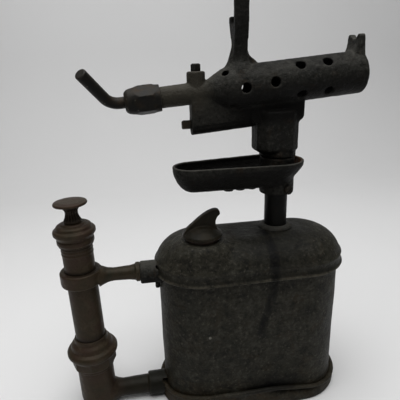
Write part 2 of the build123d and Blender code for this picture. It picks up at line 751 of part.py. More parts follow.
def pump_base():
    body = turned(
        [
            (0, PUMP_FOOT_Z),
            (BASE_BODY_RADIUS - 3.2, PUMP_FOOT_Z),
            (BASE_BODY_RADIUS - 1.2, 1.8),
            (BASE_BODY_RADIUS - 0.6, 5.0),
            (BASE_BODY_RADIUS, 10.0),
            (BASE_BODY_RADIUS, BASE_BODY_TOP_Z),
            (SPIGOT_RADIUS, BASE_BODY_TOP_Z),
            (SPIGOT_RADIUS, SPIGOT_TOP_Z),
            (0, SPIGOT_TOP_Z),
        ]
    )
    start_x = pump_axis_x(LOWER_ARM_Z)
    length = LUG_X - start_x
    root = BASE_BODY_RADIUS - 3.0
    arm = turned(
        [
            (0, 0),
            (10.4, 0),
            (10.4, root),
            (7.8, root + 5.0),
            (6.9, root + 9.0),
            (7.5, length),
            (0, length),
        ]
    )
    arm = Pos(start_x, PUMP_Y, LOWER_ARM_Z) * Rot(0, 90, 0) * arm
    arm &= box_between((-200, -50, PUMP_FOOT_Z), (0, 50, BASE_BODY_TOP_Z))
    well = cylinder_z(0, 0, BARREL_RADIUS, BARREL_BOTTOM_Z, SPIGOT_TOP_Z)
    inlet = cylinder_z(0, 0, 2.5, CHECK_SEAT_Z - 1, BARREL_BOTTOM_Z + 1)
    chamber = cylinder_z(0, 0, CHECK_CHAMBER_RADIUS, -1, CHECK_SEAT_Z)
    outlet = cylinder_x(PUMP_Y, LOWER_ARM_Z, OUTLET_RADIUS, start_x, LUG_X + 1)
    return on_pump(body) + arm - on_pump(well + inlet + chamber) - outlet


def check_plug():
    """Screwed plug under the check valve; its slot is in the underside."""
    plug = cylinder_z(0, 0, CHECK_CHAMBER_RADIUS, CHECK_PLUG_Z, CHECK_CHAMBER_BOTTOM_Z)
    return on_pump(plug - Pos(0, 0, CHECK_PLUG_Z) * Box(20, 1.4, 2.4))


def check_disc():
    top_z = CHECK_SEAT_Z - 0.1
    stem = cylinder_z(0, 0, 1.4, top_z - 6.0, top_z)
    return on_pump(stem + cylinder_z(0, 0, CHECK_CHAMBER_RADIUS - 1.0, top_z - DISC_THICKNESS, top_z))


def check_spring():
    height = CHECK_SEAT_Z - 0.1 - DISC_THICKNESS - CHECK_CHAMBER_BOTTOM_Z - 2 * SPRING_WIRE - 0.1
    coil = Helix(pitch=height / SPRING_TURNS, height=height, radius=SPRING_RADIUS)
    section = Plane(origin=coil @ 0, z_dir=coil % 0) * Circle(SPRING_WIRE)
    spring = sweep(section, coil, is_frenet=True)
    return on_pump(Pos(0, 0, CHECK_CHAMBER_BOTTOM_Z + SPRING_WIRE) * spring)


def union_collar():
    outside = turned(
        [
            (0, BASE_BODY_TOP_Z),
            (BASE_BODY_RADIUS + 0.5, BASE_BODY_TOP_Z),
            (BASE_BODY_RADIUS + 1.2, BASE_BODY_TOP_Z + 1.0),
            (BASE_BODY_RADIUS + 1.2, BASE_BODY_TOP_Z + 3.0),
            (UNION_FLAT_CORNER, BASE_BODY_TOP_Z + 4.4),
            (UNION_FLAT_CORNER, 46.2),
            (17.0, 47.6),
            (18.8, 49.6),
            (19.2, 50.6),
            (19.2, 52.4),
            (18.2, 54.0),
            (15.8, 55.6),
            (15.0, 58.6),
            (12.6, 61.0),
            (12.2, UNION_TOP_Z),
            (0, UNION_TOP_Z),
        ]
    )
    facet_height = 46.9 - BASE_BODY_TOP_Z
    facets = Pos(0, 0, BASE_BODY_TOP_Z) * extrude(RegularPolygon(UNION_FLAT_CORNER, 8), facet_height)
    lower_half = box_between((-30, -30, BASE_BODY_TOP_Z), (30, 30, BASE_BODY_TOP_Z + facet_height))
    outside = (outside - lower_half) + (outside & facets)
    outside -= cylinder_z(0, 0, SPIGOT_RADIUS, BASE_BODY_TOP_Z, SPIGOT_TOP_Z)
    return on_pump(outside - cylinder_z(0, 0, BARREL_RADIUS, SPIGOT_TOP_Z, UNION_TOP_Z))


def pump_barrel():
    outer = cylinder_z(0, 0, BARREL_RADIUS, BARREL_BOTTOM_Z, BARREL_TOP_Z)
    for level in BARREL_RING_LEVELS:
        outer += cylinder_z(0, 0, BARREL_RADIUS + BARREL_RING_RELIEF, level, level + 1.0)
    return on_pump(outer - cylinder_z(0, 0, BARREL_BORE, BARREL_BOTTOM_Z, BARREL_TOP_Z))


def pump_cap():
    rod_hole = PUMP_ROD_RADIUS + RUNNING_CLEARANCE
    cap = turned(
        [
            (BARREL_RADIUS, CAP_BOTTOM_Z),
            (12.4, CAP_BOTTOM_Z),
            (12.4, CAP_BOTTOM_Z + 1.2),
            (13.2, CAP_BOTTOM_Z + 2.0),
            (13.2, CAP_BOTTOM_Z + 4.6),
            (12.6, CAP_BOTTOM_Z + 5.4),
            (12.9, CAP_BOTTOM_Z + 6.2),
            (14.2, 149.0),
            (15.0, 150.0),
            (15.0, 152.2),
            (14.2, 153.2),
            (12.8, 153.6),
            (12.2, 155.6),
            (10.6, 156.6),
            (8.8, 156.8),
            (8.4, CAP_TOP_Z),
            (rod_hole, CAP_TOP_Z),
            (rod_hole, BARREL_TOP_Z),
            (BARREL_RADIUS, BARREL_TOP_Z),
        ]
    )
    return on_pump(cap)


# ---- plunger ----
def pump_rod():
    return on_pump(cylinder_z(0, 0, PUMP_ROD_RADIUS, PUMP_ROD_BOTTOM_Z, PUMP_ROD_TOP_Z))


def pump_knob():
    low_z = CAP_TOP_Z + 0.4
    knob = turned(
        [
            (PUMP_ROD_RADIUS, low_z),
            (6.2, low_z),
            (6.3, low_z + 1.2),
            (5.2, low_z + 3.4),
            (4.5, low_z + 6.0),
            (4.7, low_z + 8.6),
            (6.4, low_z + 11.0),
            (9.4, low_z + 12.4),
            (KNOB_RADIUS - 0.4, low_z + 12.9),
            (KNOB_RADIUS, KNOB_TOP_Z - 1.6),
            (KNOB_RADIUS - 0.5, KNOB_TOP_Z - 0.5),
            (KNOB_RADIUS - 4.0, KNOB_TOP_Z),
            (0, KNOB_TOP_Z),
            (0, PUMP_ROD_TOP_Z),
            (PUMP_ROD_RADIUS, PUMP_ROD_TOP_Z),
        ]
    )
    return on_pump(knob)


def plunger_ring(radius, low_z, high_z):
    return cylinder_z(0, 0, radius, low_z, high_z) - cylinder_z(0, 0, PUMP_ROD_RADIUS, low_z, high_z)


def plunger_washer():
    return on_pump(plunger_ring(BARREL_BORE - 0.6, LEATHER_TOP_Z, LEATHER_TOP_Z + 1.8))


def cup_leather():
    lip = BARREL_BORE - RUNNING_CLEARANCE
    leather = turned(
        [
            (PUMP_ROD_RADIUS, LEATHER_TOP_Z - LEATHER_THICKNESS),
            (lip - 2.0, LEATHER_TOP_Z - LEATHER_THICKNESS),
            (lip - 1.4, LEATHER_TOP_Z - 6.0),
            (lip, LEATHER_TOP_Z - 6.0),
            (lip, LEATHER_TOP_Z - 1.0),
            (lip - 1.0, LEATHER_TOP_Z),
            (PUMP_ROD_RADIUS, LEATHER_TOP_Z),
        ]
    )
    return on_pump(leather)


def plunger_nut():
    low_z = LEATHER_TOP_Z - LEATHER_THICKNESS - 4.4
    nut = Pos(0, 0, low_z) * extrude(RegularPolygon(5.6, 6), 4.4)
    return on_pump(nut - cylinder_z(0, 0, PUMP_ROD_RADIUS, low_z - 1, low_z + 6))


# ---- arms and lugs that join the pump to the tank ----
def clamp_arm():
    ring = cylinder_z(0, 0, RING_RADIUS, RING_Z - RING_HEIGHT / 2, RING_Z + RING_HEIGHT / 2)
    ring = fillet(ring.edges().filter_by(GeomType.CIRCLE), 1.6)
    start_x = pump_axis_x(UPPER_ARM_Z)
    start = RING_RADIUS - 2.5
    length = LUG_X - start_x
    arm = turned(
        [
            (0, start),
            (8.6, start),
            (7.0, start + 3.0),
            (5.6, start + 6.5),
            (4.9, start + 11.0),
            (5.4, length - 8.0),
            (6.2, length - 3.4),
            (7.4, length - 2.8),
            (7.4, length),
            (0, length),
        ]
    )
    arm = Pos(start_x, PUMP_Y, UPPER_ARM_Z) * Rot(0, 90, 0) * arm
    arm &= box_between((-200, -50, 0), (0, 50, RING_Z + RING_HEIGHT / 2 - 0.6))
    return on_pump(ring) + arm - on_pump(cylinder_z(0, 0, BARREL_RADIUS, 90, 140))


def upper_lug():
    lug = turned([(0, 0), (7.8, 0), (8.6, 1.0), (8.6, 12.0), (9.6, 16.0), (0, 16.0)])
    lug = Pos(LUG_X, PUMP_Y, UPPER_ARM_Z - 1.0) * Rot(0, 90, 0) * lug
    lug += cylinder_z(NUB_X, PUMP_Y, NUB_RADIUS, NUB_BOTTOM_Z, UPPER_ARM_Z - 4)
    return lug - dome_outer() - body_prism(0, RIM_Z)


def lower_lug():
    lug = turned([(0, 0), (8.6, 0), (9.4, 1.0), (9.4, 16.0), (0, 16.0)])
    lug = Pos(LUG_X, PUMP_Y, LOWER_ARM_Z) * Rot(0, 90, 0) * lug
    lug = lug - base_outer() - body_prism(0, RIM_Z)
    return lug - cylinder_x(PUMP_Y, LOWER_ARM_Z, OUTLET_RADIUS, LUG_X - 4, 0)


PARTS = {
    "tank_base": tank_base,
    "tank_body": tank_body,
    "tank_top": tank_top,
    "filler_seat": filler_seat,
    "filler_gasket": filler_gasket,
    "filler_cap": filler_cap,
    "post_flange": post_flange,
    "standpipe": standpipe,
    "feed_tube": feed_tube,
    "wick": wick,
    "drip_pan": drip_pan,
    "pan_clamp_screw": pan_clamp_screw,
    "burner_casting": burner_casting,
    "flame_tube": flame_tube,
    "iron_hook": iron_hook,
    "iron_fork": iron_fork,
    "top_plug": top_plug,
    "side_plug": side_plug,
    "jet_nozzle": jet_nozzle,
    "packing_nut": packing_nut,
    "gland_packing": gland_packing,
    "valve_needle": valve_needle,
    "valve_rod": valve_rod,
    "pump_base": pump_base,
    "check_plug": check_plug,
    "check_disc": check_disc,
    "check_spring": check_spring,
    "union_collar": union_collar,
    "pump_barrel": pump_barrel,
    "pump_cap": pump_cap,
    "pump_rod": pump_rod,
    "pump_knob": pump_knob,
    "plunger_washer": plunger_washer,
    "cup_leather": cup_leather,
    "plunger_nut": plunger_nut,
    "clamp_arm": clamp_arm,
    "upper_lug": upper_lug,
    "lower_lug": lower_lug,
}

os.makedirs("parts", exist_ok=True)
for name, make in PARTS.items():
    export_step(make(), f"parts/{name}.step")
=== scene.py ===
import json
import math

import bmesh
import bpy
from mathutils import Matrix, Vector, noise


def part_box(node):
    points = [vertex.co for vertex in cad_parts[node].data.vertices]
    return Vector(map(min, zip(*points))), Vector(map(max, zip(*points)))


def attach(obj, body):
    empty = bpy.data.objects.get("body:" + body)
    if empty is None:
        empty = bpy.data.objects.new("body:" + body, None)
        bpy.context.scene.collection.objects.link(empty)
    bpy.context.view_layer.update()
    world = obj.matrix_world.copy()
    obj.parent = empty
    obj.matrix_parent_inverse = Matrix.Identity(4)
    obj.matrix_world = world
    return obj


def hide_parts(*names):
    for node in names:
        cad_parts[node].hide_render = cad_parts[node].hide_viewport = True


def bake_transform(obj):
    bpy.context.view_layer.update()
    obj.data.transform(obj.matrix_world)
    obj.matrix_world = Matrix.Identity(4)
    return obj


# Looks for a hand-pumped gasoline blow torch. Metres, in the frame of the CAD part:
# +Z up, +X toward the mouth of the flame tube, origin at the middle of the tank's base.

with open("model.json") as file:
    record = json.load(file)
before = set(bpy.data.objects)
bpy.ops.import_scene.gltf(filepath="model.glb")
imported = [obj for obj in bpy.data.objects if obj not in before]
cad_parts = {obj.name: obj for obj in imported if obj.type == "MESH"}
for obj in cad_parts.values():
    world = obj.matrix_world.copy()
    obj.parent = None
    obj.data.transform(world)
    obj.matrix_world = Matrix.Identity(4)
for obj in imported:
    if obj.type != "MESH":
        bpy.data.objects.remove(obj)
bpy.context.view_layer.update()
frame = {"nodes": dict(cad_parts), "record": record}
MM = 0.001

# ---- driving values taken from the frame ----
BODY_LOW, BODY_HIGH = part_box("tank_body")
DOME_LOW, DOME_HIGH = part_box("tank_top")
HALF_WIDTH = BODY_HIGH.y
HALF_STRAIGHT = BODY_HIGH.x - HALF_WIDTH
DOME_BASE_Z = DOME_LOW.z
DOME_TOP_Z = DOME_HIGH.z
BASE_TOP_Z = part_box("tank_base")[1].z
DOME_OVERHANG = 3.0 * MM
DOME_SHOULDER = 24.5 * MM
UPPER_BEAD_Z = DOME_BASE_Z + 9.4 * MM
# height, how far it stands out, how broad it is
SEAM_BEAD = (DOME_BASE_Z + 1.5 * MM, 0.8 * MM, 1.1 * MM)
UPPER_BEAD = (UPPER_BEAD_Z, 0.8 * MM, 1.2 * MM)
CHANNEL = (DOME_BASE_Z + 5.6 * MM, -0.5 * MM, 2.0 * MM)
SEAM_CURL = (
    # height over the dome's foot and outset in mm, round the rolled edge of the seam
    (1.0, 0.2),
    (0.5, 1.2),
    (0.2, 2.2),
    (0.3, 2.9),
    (0.7, 3.5),
)
SEAM_FOOT_Z = DOME_BASE_Z + 1.3 * MM
LIFT_LOW_Z = DOME_BASE_Z + 7 * MM
LIFT_HIGH_Z = DOME_BASE_Z + 15 * MM
LIP_TOP_Z = BASE_TOP_Z - 0.4 * MM
TUBE_LOW, TUBE_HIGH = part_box("flame_tube")
BURNER_LEAN = 5.1
BURNER_SLOPE = math.tan(math.radians(BURNER_LEAN))
BURNER_PLACE = ((TUBE_LOW.x + TUBE_HIGH.x) / 2, 0.0, (TUBE_LOW.z + TUBE_HIGH.z) / 2)
PAN_LOW, PAN_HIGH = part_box("drip_pan")
PAN_FLOOR_Z = PAN_LOW.z + 7 * MM
PAN_RIM_Z = PAN_HIGH.z - 3.6 * MM
PAN_RUST_TOP_Z = PAN_HIGH.z + 1 * MM
HOOK_LOW, HOOK_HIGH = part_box("iron_hook")
FORK_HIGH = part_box("iron_fork")[1]
KNOB_LOW, KNOB_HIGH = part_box("pump_knob")
KNOB_Y = (KNOB_LOW.y + KNOB_HIGH.y) / 2
SEAT_LOW, SEAT_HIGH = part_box("filler_seat")
FLANGE_LOW, FLANGE_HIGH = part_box("post_flange")
POST_PLACE = ((FLANGE_LOW.x + FLANGE_HIGH.x) / 2, (FLANGE_LOW.y + FLANGE_HIGH.y) / 2)
FILLER_PLACE = ((SEAT_LOW.x + SEAT_HIGH.x) / 2, (SEAT_LOW.y + SEAT_HIGH.y) / 2)
POST_SWELL = 1.2 * MM
DOME_BOSSES = (
    # place, height that the plate is lifted to, radius fully lifted, radius where the lift ends
    (POST_PLACE, FLANGE_LOW.z + POST_SWELL, 10 * MM, 22 * MM),
    (FILLER_PLACE, SEAT_HIGH.z - 0.4 * MM, 15 * MM, 25 * MM),
)
HOOK_ROOT = ((HOOK_LOW.x + HOOK_HIGH.x) / 2, 0.0, 264 * MM)
FORK_ROOT = (FORK_HIGH.x - 4 * MM, 0.0, 268 * MM)
NECK_STEP = (22 * MM, -11 * MM, 229 * MM)
BURNER_FILLETS = (
    # place, radius, rounding passes
    (HOOK_ROOT, 15 * MM, 24),
    (FORK_ROOT, 9 * MM, 16),
    (NECK_STEP, 16 * MM, 20),
)

# ---- driving values of the looks ----
# the length, close to the tank's, that its stains are measured along
STAIN_SPAN = 1.0 / 6.0
TANK_STEP = 1.5 * MM
SEAM_STEP = 0.5 * MM
SHOULDER_STEP = 0.03
SHELL_SPREAD = 2.2 * MM
SHELL_SPREAD_Z = 26.0 * MM
SHELL_INSET = 0.15 * MM
SKIRT_TUCK = 0.8 * MM
PLATE_WAVES = (
    # size, depth, seed
    (0.035, 0.35 * MM, 3.0),
    (0.008, 0.10 * MM, 11.0),
    (0.0025, 0.05 * MM, 23.0),
)
LIP_WAVE = (0.014, 0.5 * MM, 9.0)
LIP_DROPS = (
    # which end of the tank, how much lower the lip is there, where the drop starts and ends
    (1, 6.4 * MM, 0.005, 0.072),
    (-1, 3.6 * MM, 0.046, 0.070),
)
PUMP_LEAN = 1.4
PUMP_SLOPE = math.tan(math.radians(PUMP_LEAN))
KNOB_FOOT_X = (KNOB_LOW.x + KNOB_HIGH.x) / 2 + (KNOB_HIGH.z - KNOB_LOW.z) * PUMP_SLOPE
# height span along which the pump's bands of painted shade are laid
SHADE_BAND_SPAN = 200 * MM
KNOB_FOOT_SHARE = KNOB_LOW.z / SHADE_BAND_SPAN
KNOB_NECK_SHARE = (KNOB_HIGH.z - 4.5 * MM) / SHADE_BAND_SPAN
FLUTES = 16
FLUTE_DEPTH = 0.8 * MM
# specks of old paint on the tank
FLECKS = (
    # place, radius
    ((-0.0285, -0.0368, 0.0195), 0.0013),
    ((-0.0385, -0.0335, 0.0680), 0.0011),
)
# the open groove under the lip, at the front right
GROOVE_X = 0.027
GROOVE_HALF_LENGTH = 0.019
GROOVE_DEPTH = 3.4 * MM
# black residue on the lip, and the thin black line of painted shade in the groove
STAIN_X = 0.012
STAIN_HALF_LENGTH = 0.030
STAIN_LOW_Z = 0.0145
STAIN_FADE_Z = 0.0175
STAIN_FADE = 0.011
SLIT_Z = 0.0122
SLIT_SLOPE = 0.035
SLIT_SHARPNESS = 650.0
# the dark run down the front of the tank
RUN_TURN_Z = 0.062
RUN_SLOPE = 0.24
RUN_HEAD_X = 0.0095
RUN_WANDER = 0.010
RUN_WIDTH = 0.0070
RUN_LEAST_WIDTH = 0.0002
SKIRT_PROFILE = (
    # share of the lip's height, outset in mm, share of the groove's depth
    (0.0, 2.2, 0.0),
    (0.015, 3.0, 0.0),
    (0.06, 3.5, 0.0),
    (0.15, 3.7, 0.0),
    (0.27, 3.8, 0.0),
    (0.40, 3.8, 0.0),
    (0.50, 3.8, 0.05),
    (0.60, 3.8, 0.3),
    (0.68, 3.8, 0.8),
    (0.76, 3.7, 1.0),
    (0.80, 3.7, 0.9),
    (0.83, 3.8, 0.2),
    (0.87, 4.1, 0.0),
    (0.93, 4.3, 0.0),
    (0.97, 4.1, 0.0),
    (1.0, 3.3, 0.0),
    (1.005, 2.3, 0.0),
    (0.98, 1.4, 0.0),
    (0.90, 0.6, 0.0),
)
CAMERA_PLACE = (-0.0842, -0.2853, 0.2596)
CAMERA_TURN = (71.92, 1.52, -9.73)
CAMERA_LENS = 36.74
WORLD_GREY = 0.07
SWEEP_FRONT = -3.0
SWEEP_BACK = 0.55
SWEEP_RADIUS = 0.30
SWEEP_HEIGHT = 2.2
SWEEP_HALF_WIDTH = 2.5


# =====================================================================
# Node helpers
# =====================================================================
def new_material(name):
    material = bpy.data.materials.new(name)
    material.use_nodes = True
    tree = material.node_tree
    return material, tree, tree.nodes["Principled BSDF"]


def object_coords(tree):
    return tree.nodes.new("ShaderNodeTexCoord").outputs["Object"]


def noise_tex(tree, vector, size, detail=4.0, roughness=0.55, distortion=0.0):
    """Noise whose features are about `size` metres across."""
    node = tree.nodes.new("ShaderNodeTexNoise")
    node.inputs["Scale"].default_value = 1.0 / size
    node.inputs["Detail"].default_value = detail
    node.inputs["Roughness"].default_value = roughness
    node.inputs["Distortion"].default_value = distortion
    tree.links.new(vector, node.inputs["Vector"])
    return node.outputs["Fac"]


def cells(tree, vector, size, randomness=1.0):
    """Distance to the nearest cell centre: small round pits."""
    node = tree.nodes.new("ShaderNodeTexVoronoi")
    node.inputs["Scale"].default_value = 1.0 / size
    node.inputs["Randomness"].default_value = randomness
    tree.links.new(vector, node.inputs["Vector"])
    return node.outputs["Distance"]


def ramp(tree, factor, *stops):
    """Colour ramp from (position, colour) stops; a colour may be one grey number."""
    node = tree.nodes.new("ShaderNodeValToRGB")
    elements = node.color_ramp.elements
    while len(elements) < len(stops):
        elements.new(1.0)
    for element, (position, colour) in zip(elements, stops):
        element.position = position
        rgb = colour if isinstance(colour, tuple) else (colour, colour, colour)
        element.color = (*rgb, 1.0)
    tree.links.new(factor, node.inputs["Fac"])
    return node.outputs["Color"]


def mixed(tree, factor, first, second, mode="MIX"):
    """first where the factor is 0, second where it is 1. Either may be a colour tuple."""
    node = tree.nodes.new("ShaderNodeMix")
    node.data_type = "RGBA"
    node.blend_type = mode
    for value, socket in ((factor, "Factor_Float"), (first, "A_Color"), (second, "B_Color")):
        target = next(s for s in node.inputs if s.identifier == socket)
        if isinstance(value, bpy.types.NodeSocket):
            tree.links.new(value, target)
        elif isinstance(value, tuple):
            target.default_value = (*value, 1.0)
        else:
            target.default_value = value
    return next(s for s in node.outputs if s.identifier == "Result_Color")


def math_node(tree, operation, first, second=0.0, third=0.0, clamp=False):
    node = tree.nodes.new("ShaderNodeMath")
    node.operation = operation
    node.use_clamp = clamp
    for value, socket in zip((first, second, third), node.inputs):
        if isinstance(value, bpy.types.NodeSocket):
            tree.links.new(value, socket)
        else:
            socket.default_value = value
    return node.outputs[0]


def bump(tree, height, depth, strength=1.0, under=None):
    """Bump whose relief is `depth` metres."""
    node = tree.nodes.new("ShaderNodeBump")
    node.inputs["Distance"].default_value = depth
    node.inputs["Strength"].default_value = strength
    tree.links.new(height, node.inputs["Height"])
    if under is not None:
        tree.links.new(under, node.inputs["Normal"])
    return node.outputs["Normal"]


def axis_value(tree, vector, axis):
    node = tree.nodes.new("ShaderNodeSeparateXYZ")
    tree.links.new(vector, node.inputs[0])
    return node.outputs[axis]


def ramp_along(tree, length, span, *stops, start=0.0):
    """Ramp over a length in metres. The stops are shares of the span, counted from start.

    A negative span counts downward."""
    share = math_node(tree, "MULTIPLY_ADD", length, 1.0 / span, -start / span)
    return ramp(tree, share, *stops)


def reach(tree, first, second):
    """Distance made by two offsets at right angles."""
    squares = math_node(tree, "MULTIPLY_ADD", first, first, math_node(tree, "MULTIPLY", second, second))
    return math_node(tree, "SQRT", squares)


def between(tree, value, low, high):
    """1 where the value lies between low and high, 0 elsewhere."""
    above = math_node(tree, "GREATER_THAN", value, low)
    below = math_node(tree, "LESS_THAN", value, high)
    return math_node(tree, "MULTIPLY", above, below)


def all_of(tree, first, *others):
    """The product of several masks: high only where every one is."""
    for other in others:
        first = math_node(tree, "MULTIPLY", first, other)
    return first


def edge_wear(tree, low=0.5, high=0.6):
    """White on convex edges of a dense mesh, black elsewhere."""
    point = tree.nodes.new("ShaderNodeNewGeometry").outputs["Pointiness"]
    return ramp(tree, point, (low, 0.0), (high, 1.0))


def crease_shade_mask(tree, low=0.4, high=0.495):
    """White in the creases of a dense mesh, black elsewhere: where painted shade darkens the creases."""
    point = tree.nodes.new("ShaderNodeNewGeometry").outputs["Pointiness"]
    return ramp(tree, point, (low, 1.0), (high, 0.0))


# the three numbers set the painted shade on faces that look down and on upright faces, and the painted
# light on faces that look up
def painted_facing_light(tree, base, soot=0.85, side_shade=0.35, top_light=0.45):
    """Painted shade on the faces that look down and, less, on upright ones; painted light, a pale film,
    on those that look up.
    """
    facing = axis_value(tree, tree.nodes.new("ShaderNodeTexCoord").outputs["Normal"], "Z")
    share = math_node(tree, "MULTIPLY_ADD", facing, 0.5, 0.5)
    below = ramp(tree, share, (0.28, soot), (0.50, side_shade), (0.72, 0.0))
    base = mixed(tree, below, base, (0.0020, 0.0018, 0.0015))
    above = ramp(tree, share, (0.72, 0.0), (0.98, top_light))
    return mixed(tree, above, base, (0.060, 0.058, 0.050))


def burner_soot_and_shade(tree, at):
    """Black inside the flame tube and in the angle under it: soot where the flame licks back, with
    painted shade in the bore and a painted shadow under the tube.
    """
    side = math_node(tree, "SUBTRACT", axis_value(tree, at, "X"), BURNER_PLACE[0])
    height = math_node(tree, "SUBTRACT", axis_value(tree, at, "Z"), BURNER_PLACE[2])
    depth = axis_value(tree, at, "Y")
    rise = math_node(tree, "MULTIPLY_ADD", side, -BURNER_SLOPE, height)
    bore = ramp_along(tree, reach(tree, rise, depth), 50 * MM, (0.284, 1.0), (0.292, 0.0))
    along = ramp_along(tree, side, 200 * MM, (0.27, 0.0), (0.34, 1.0), start=-100 * MM)
    # painted shadow in the angle under the tube
    under = ramp_along(
        tree,
        rise,
        -50 * MM,
        (0.26, 0.0),
        (0.31, 0.97),
        (0.48, 0.92),
        (0.56, 0.25),
        (0.72, 0.0),
    )
    ends = ramp_along(tree, side, 200 * MM, (0.26, 0.0), (0.36, 1.0), start=-100 * MM)
    return math_node(tree, "MAXIMUM", all_of(tree, bore, along), all_of(tree, under, ends))


def post_soot(tree, at):
    """Soot that settled on the dome round the foot of the post."""
    side = math_node(tree, "SUBTRACT", axis_value(tree, at, "X"), POST_PLACE[0] - 8 * MM)
    depth = math_node(tree, "MULTIPLY", axis_value(tree, at, "Y"), 0.8)
    spread = ramp_along(tree, reach(tree, side, depth), 50 * MM, (0.50, 0.62), (0.86, 0.0))
    above = math_node(tree, "GREATER_THAN", axis_value(tree, at, "Z"), UPPER_BEAD_Z)
    return all_of(tree, spread, above)


def hook_soot(tree, at):
    """Soot carried up the hook, which stands over the flame tube."""
    side = math_node(tree, "LESS_THAN", axis_value(tree, at, "X"), HOOK_HIGH.x + 4 * MM)
    height = math_node(tree, "SUBTRACT", axis_value(tree, at, "Z"), BURNER_PLACE[2])
    return all_of(tree, side, ramp(tree, height, (0.017, 0.0), (0.030, 0.5)))


def valve_bare(tree, at):
    """Browner, less sooty iron on the valve's housing, which stays cool."""
    side = axis_value(tree, at, "X")
    rise = math_node(tree, "MULTIPLY_ADD", side, -BURNER_SLOPE, axis_value(tree, at, "Z"))
    lift = math_node(tree, "SUBTRACT", rise, BURNER_PLACE[2])
    above = ramp_along(tree, lift, 50 * MM, (0.10, 0.0), (0.42, 1.0), start=-25 * MM)
    left = ramp_along(tree, side, -100 * MM, (0.26, 0.0), (0.36, 0.5))
    return all_of(tree, left, above)


def flecks(tree, at):
    """Pale specks of old paint on the front of the tank."""
    total = 0.0
    for place, radius in FLECKS:
        away = tree.nodes.new("ShaderNodeVectorMath")
        away.operation = "DISTANCE"
        tree.links.new(at, away.inputs[0])
        away.inputs[1].default_value = place
        spot = math_node(tree, "LESS_THAN", away.outputs["Value"], radius)
        total = math_node(tree, "MAXIMUM", spot, total)
    return total


def pan_soot(tree, at):
    """Soot on the inside of the drip pan, below its rim: 0.9 there, 0 elsewhere."""
    normal = tree.nodes.new("ShaderNodeTexCoord").outputs["Normal"]
    inward = math_node(tree, "MULTIPLY", axis_value(tree, at, "Y"), axis_value(tree, normal, "Y"))
    walls = math_node(tree, "LESS_THAN", inward, -0.001)
    floor = math_node(tree, "GREATER_THAN", axis_value(tree, normal, "Z"), 0.35)
    within = between(tree, axis_value(tree, at, "Z"), PAN_FLOOR_Z, PAN_RIM_Z)
    return all_of(tree, math_node(tree, "MAXIMUM", walls, floor), within, 0.9)


def pan_rust(tree, at, patchy):
    """Fresh rust in the pan's round end, on the far side of the post from the pump."""
    normal = tree.nodes.new("ShaderNodeTexCoord").outputs["Normal"]
    right = ramp_along(tree, axis_value(tree, at, "X"), 50 * MM, (0.62, 0.0), (0.72, 0.8))
    broken = ramp(tree, patchy, (0.42, 0.2), (0.60, 1.0))
    side = math_node(tree, "SUBTRACT", axis_value(tree, at, "X"), POST_PLACE[0])
    depth = axis_value(tree, at, "Y")
    outward = math_node(tree, "MULTIPLY", side, axis_value(tree, normal, "X"))
    outward = math_node(tree, "MULTIPLY_ADD", depth, axis_value(tree, normal, "Y"), outward)
    walls = ramp_along(tree, outward, 10 * MM, (0.30, 1.0), (0.60, 0.0), start=-5 * MM)
    within = between(tree, axis_value(tree, at, "Z"), PAN_FLOOR_Z, PAN_RUST_TOP_Z)
    return all_of(tree, right, broken, walls, within)


# =====================================================================
# Materials
# =====================================================================
def cast_iron_material():
    """Sand-cast iron blackened by soot and by painted shade, greyer where it is rubbed, rusty in patches,
    with painted light on its upper faces.
    """
    material, tree, shader = new_material("sooty_shaded_cast_iron")
    at = object_coords(tree)
    broad = noise_tex(tree, at, 0.030, 3, 0.6)
    patchy = noise_tex(tree, at, 0.009, 6, 0.65, 0.6)
    grain = noise_tex(tree, at, 0.0011, 3, 0.6)
    base = ramp(tree, broad, (0.35, (0.014, 0.014, 0.012)), (0.65, (0.026, 0.025, 0.021)))
    rust = ramp(tree, patchy, (0.56, 0.0), (0.70, 0.75))
    base = mixed(tree, rust, base, (0.030, 0.020, 0.012))
    speckle = noise_tex(tree, at, 0.0024, 4, 0.7)
    base = mixed(tree, ramp(tree, speckle, (0.36, 0.8), (0.48, 0.0)), base, (0.004, 0.004, 0.003))
    base = mixed(tree, ramp(tree, speckle, (0.55, 0.0), (0.68, 0.6)), base, (0.062, 0.060, 0.052))
    worn = math_node(tree, "MULTIPLY", edge_wear(tree, 0.505, 0.58), 0.5)
    base = mixed(tree, worn, base, (0.045, 0.042, 0.036))
    # painted shade darkening the creases
    painted_crease_shade = math_node(tree, "MULTIPLY", crease_shade_mask(tree), 0.8)
    base = mixed(tree, painted_crease_shade, base, (0.003, 0.003, 0.002))
    # painted shade below and painted light above, by which way each face looks
    base = painted_facing_light(tree, base, 0.88, 0.38, 0.62)
    # soot, painted shade in the bore and a painted shadow under the flame tube
    base = mixed(tree, burner_soot_and_shade(tree, at), base, (0.0015, 0.0013, 0.0010))
    base = mixed(tree, pan_soot(tree, at), base, (0.0016, 0.0014, 0.0012))
    base = mixed(tree, pan_rust(tree, at, patchy), base, (0.100, 0.045, 0.018))
    base = mixed(tree, hook_soot(tree, at), base, (0.004, 0.004, 0.004))
    base = mixed(tree, valve_bare(tree, at), base, (0.052, 0.046, 0.034))
    tree.links.new(base, shader.inputs["Base Color"])
    tree.links.new(ramp(tree, patchy, (0.3, 0.50), (0.7, 0.68)), shader.inputs["Roughness"])
    shader.inputs["Metallic"].default_value = 0.0
    shader.inputs["Specular IOR Level"].default_value = 0.09
    lumps = noise_tex(tree, at, 0.0036, 4, 0.6)
    relief = bump(tree, lumps, 0.0013, 0.8)
    relief = bump(tree, grain, 0.0005, 0.8, relief)
    pits = ramp(tree, cells(tree, at, 0.0021), (0.0, 0.0), (0.32, 1.0))
    relief = bump(tree, pits, 0.0003, 0.6, relief)
    tree.links.new(relief, shader.inputs["Normal"])
    return material


